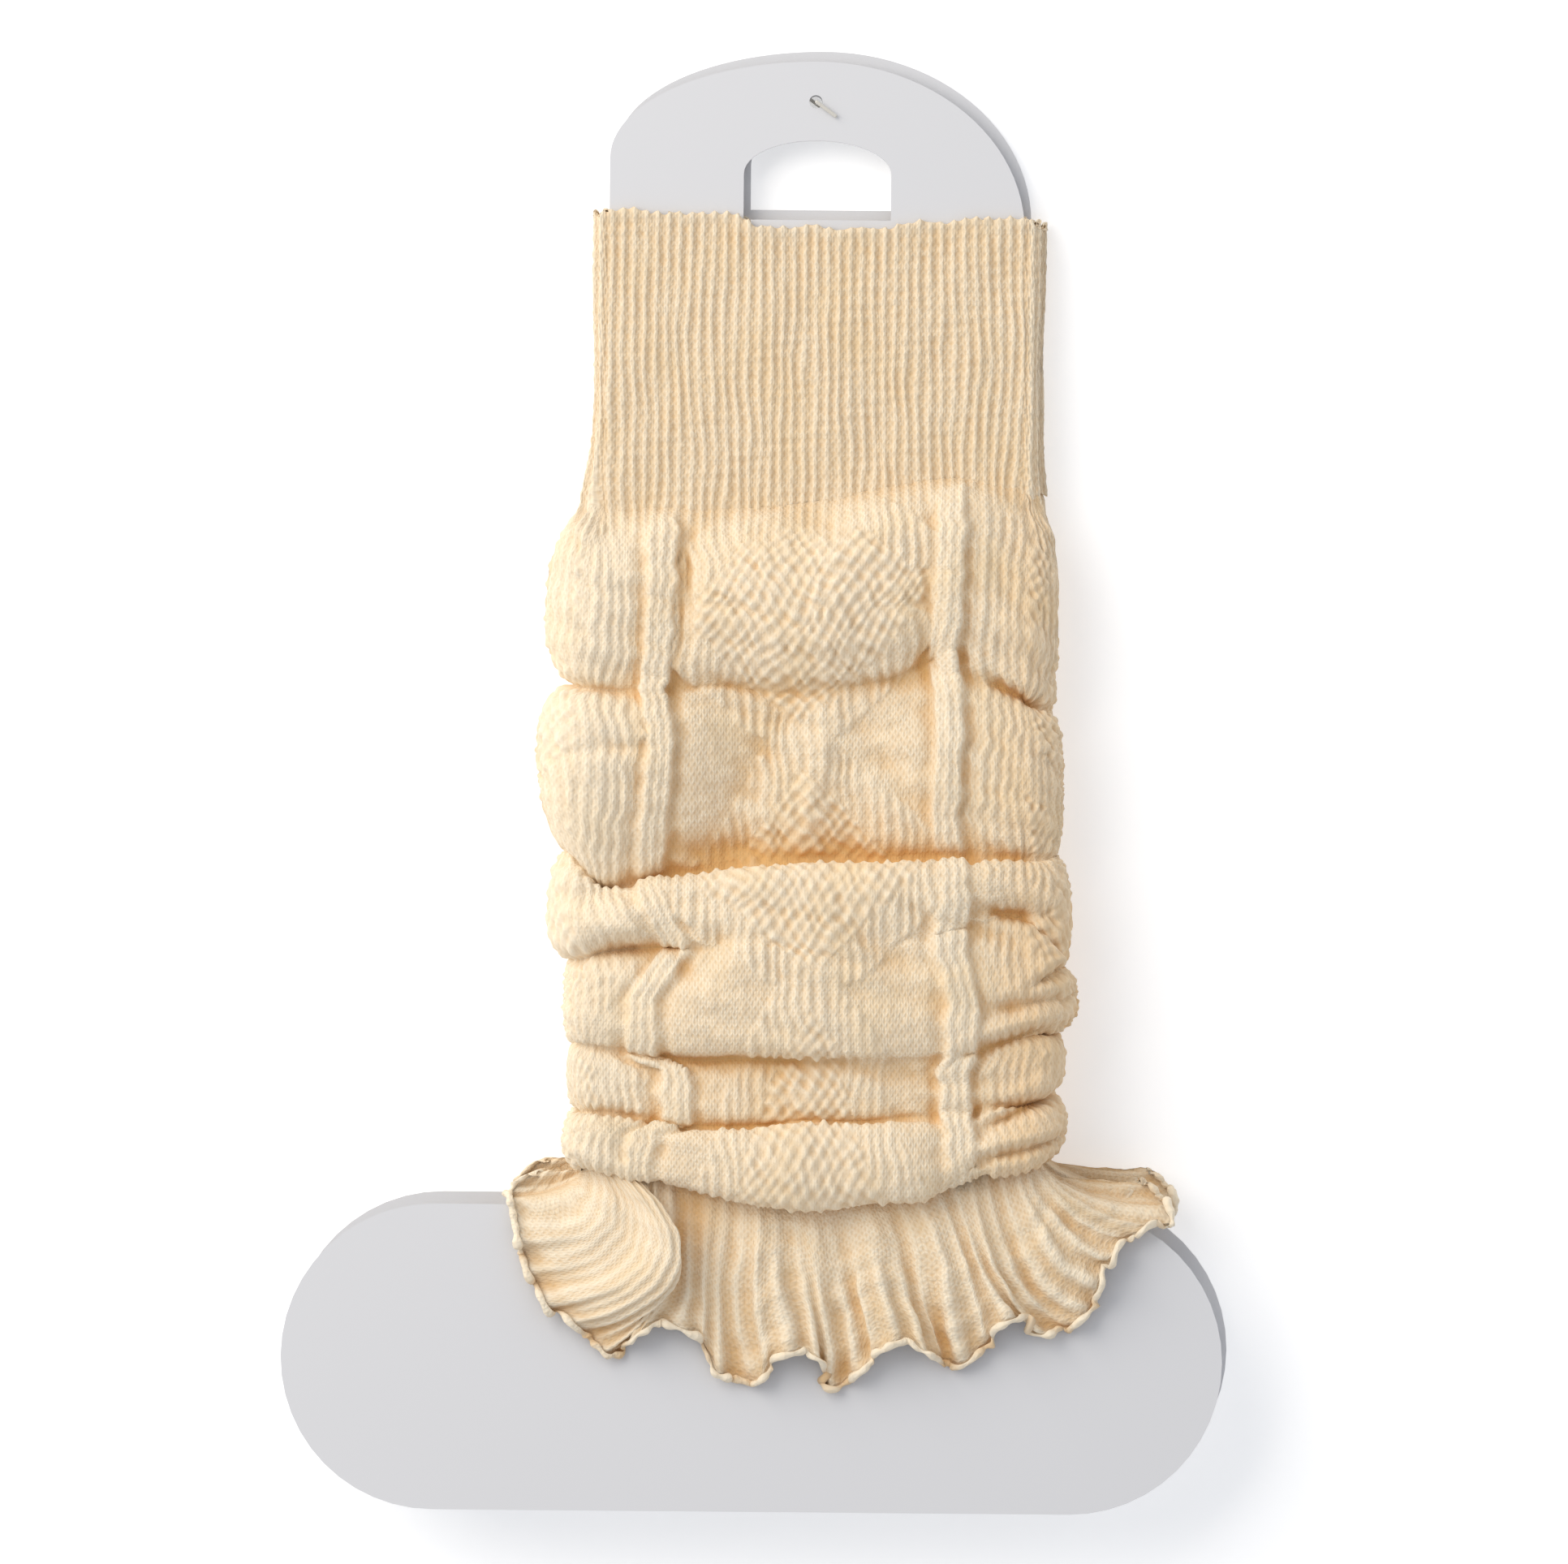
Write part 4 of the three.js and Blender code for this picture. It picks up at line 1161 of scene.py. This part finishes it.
def satin_plastic(name, colour, roughness, ior, grain_mm, grain_depth_mm, milky=0.0):
    """A plastic whose gloss varies a little over the sheet, with a fine grain."""
    material, tree, surface = finish_named(name)
    where = add(tree, "TexCoord").outputs["Object"]
    grain = add(tree, "TexNoise", {"Vector": where, "Scale": 1 / (grain_mm * MM), "Detail": 2.0})
    cloud = add(tree, "TexNoise", {"Vector": where, "Scale": CLOUDS_TO_A_METRE, "Detail": 1.0})
    ends = {0: cloud.outputs["Fac"], 3: roughness - 0.05, 4: roughness + 0.05}
    rough = add(tree, "MapRange", ends).outputs[0]
    depth = grain_depth_mm * MM
    bump = add(tree, "Bump", {"Height": grain.outputs["Fac"], "Strength": 0.12, "Distance": depth})
    surface.inputs["Base Color"].default_value = linear(colour)
    tree.links.new(rough, surface.inputs["Roughness"])
    tree.links.new(bump.outputs["Normal"], surface.inputs["Normal"])
    surface.inputs["IOR"].default_value = ior
    surface.inputs["Subsurface Weight"].default_value = milky
    surface.inputs["Subsurface Radius"].default_value = (0.001, 0.001, 0.001)
    return material


card_sheet = satin_plastic("white polypropylene sheet", "#DFDFE1", 0.42, 1.49, 1.2, 0.02)
pin_nylon = satin_plastic("milky moulded nylon", "#D9D5CC", 0.35, 1.53, 0.8, 0.01, milky=0.3)
print("plastics:", card_sheet.name, "and", pin_nylon.name)

# %% [markdown]
# The model's own cards and tag pin have their right shape already, so they stay and only take the
# new finish; to build them again would gain nothing. The knitted pieces take over from the plain
# solids and ride with the one body.

for node, finish in (("front_card", card_sheet), ("rear_card", card_sheet), ("tag_pin", pin_nylon)):
    piece = bpy.data.objects[node]
    piece.data.materials.clear()
    piece.data.materials.append(finish)

# spread flat, all round and along, in metres; the frill is a fan, so its area is given too
CUFF_CUT = (MM * CUFF_RIBS * RIB_PITCH, 0.078)
FRILL_CUT = (0.420, 0.056)
FRILL_AREA = 0.0195
CLOTH = [
    (front_cuff, "front_cuff", "front_card", "stretched", CUFF_CUT, None),
    (front_body, "front_body", "front_card", "gathered", (MM * GIRTH, MM * front_body_length), None),
    (front_frill, "front_frill", "front_card", "stretched", FRILL_CUT, FRILL_AREA),
    (rear_cuff, "rear_cuff", "rear_card", "stretched", CUFF_CUT, None),
    (rear_body, "rear_body", "rear_card", "gathered", (MM * GIRTH, MM * rear_body_length), None),
    (rear_frill, "rear_frill", "rear_card", "stretched", FRILL_CUT, FRILL_AREA),
]
for piece, node, card_node, held, cut, area in CLOTH:
    piece.data.materials.append(yarn)
    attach(piece, "root")
    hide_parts(node)
print("pieces:", ", ".join(item[0].name for item in CLOTH))

# %% [markdown]
# The floor is a light table: milky glass lit faintly from below, so that it stays white round the
# pair and its shadows are thin. A plain white floor under a stronger light would be as white, but
# that light would bleach the cream cloth too.

# %% Floor
FLOOR_HALF = 3.0
FLOOR_GAP = 0.3 * MM
floor_mesh = bpy.data.meshes.new("floor")
FLOOR_CORNERS = [(x * FLOOR_HALF, y * FLOOR_HALF, 0) for x, y in ((-1, -1), (1, -1), (1, 1), (-1, 1))]
floor_mesh.from_pydata(FLOOR_CORNERS, [], [(0, 1, 2, 3)])
floor = bpy.data.objects.new("floor", floor_mesh)
bpy.context.scene.collection.objects.link(floor)
floor.location.z = -FLOOR_GAP
glass, _, glass_surface = finish_named("milky light-table glass")
glass_surface.inputs["Base Color"].default_value = linear("#FAFAFA")
glass_surface.inputs["Emission Color"].default_value = linear("#FFFFFF")
glass_surface.inputs["Emission Strength"].default_value = 0.3
glass_surface.inputs["Roughness"].default_value = 0.9
glass_surface.inputs["Specular IOR Level"].default_value = 0.1
floor_mesh.materials.append(glass)
floor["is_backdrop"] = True
print(f"floor: {2 * FLOOR_HALF:.0f} m square")

# %% [markdown]
# One broad soft light comes from the upper left, low enough to rake over the ribs, and the pale
# surroundings fill the rest. A small lamp would throw hard shadows and hide the soft folds.

# %% Light
WINDOW = (-1.05, 0.75, 0.95)
WINDOW_WATTS = 20.5
WINDOW_SIDE = 1.5
window_data = bpy.data.lights.new("window_light", "AREA")
window_data.energy = WINDOW_WATTS
window_data.size = WINDOW_SIDE
window_data.color = linear("#FFF9F0")[:3]
window_light = bpy.data.objects.new("window_light", window_data)
bpy.context.scene.collection.objects.link(window_light)
window_light.location = WINDOW
tilt = math.atan2(math.hypot(WINDOW[0], WINDOW[1]), WINDOW[2])
window_light.rotation_euler = (tilt, 0, math.atan2(WINDOW[1], WINDOW[0]) + math.pi / 2)
world = bpy.data.worlds.new("pale_room")
world.use_nodes = True
world.node_tree.nodes["Background"].inputs["Color"].default_value = linear("#F6F9FF")
world.node_tree.nodes["Background"].inputs["Strength"].default_value = 0.62
bpy.context.scene.world = world
bpy.context.scene.view_settings.view_transform = "Standard"
print(f"window light: {math.degrees(tilt):.0f} degrees off the vertical, {WINDOW_WATTS} W")

# %% [markdown]
# The camera looks straight down on the pair from more than a metre, with a long lens, so that the
# thick knit hides little of the cards.

# %% Camera
LENS = 200.0
SENSOR = 36.0
FRAME_WIDTH = 0.4183   # metres across the picture, at the level of the cloth
CLOTH_LEVEL = 0.013
view_data = bpy.data.cameras.new("table_view")
view_data.lens = LENS
view_data.sensor_width = SENSOR
camera = bpy.data.objects.new("table_view", view_data)
bpy.context.scene.collection.objects.link(camera)
camera.location = (0.0064, -0.0010, CLOTH_LEVEL + FRAME_WIDTH * LENS / SENSOR)
camera.rotation_euler = (0, 0, math.radians(0.5))
bpy.context.scene.camera = camera
print(f"camera: {camera.location.z:.2f} m above the table")

# %% [markdown]
# Cloth stands a little proud of the plain model. The box round everything that shows is set
# beside the model's own, and both are printed.

# %% Sizes
now = [list(map(float, corner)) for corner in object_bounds()]
for axis, low, high, model_low, model_high in zip("xyz", *now, *CAD_BOX):
    print(f"{axis}: {low / MM:.1f} to {high / MM:.1f} mm;"
          f" the model's {model_low / MM:.1f} to {model_high / MM:.1f} mm")
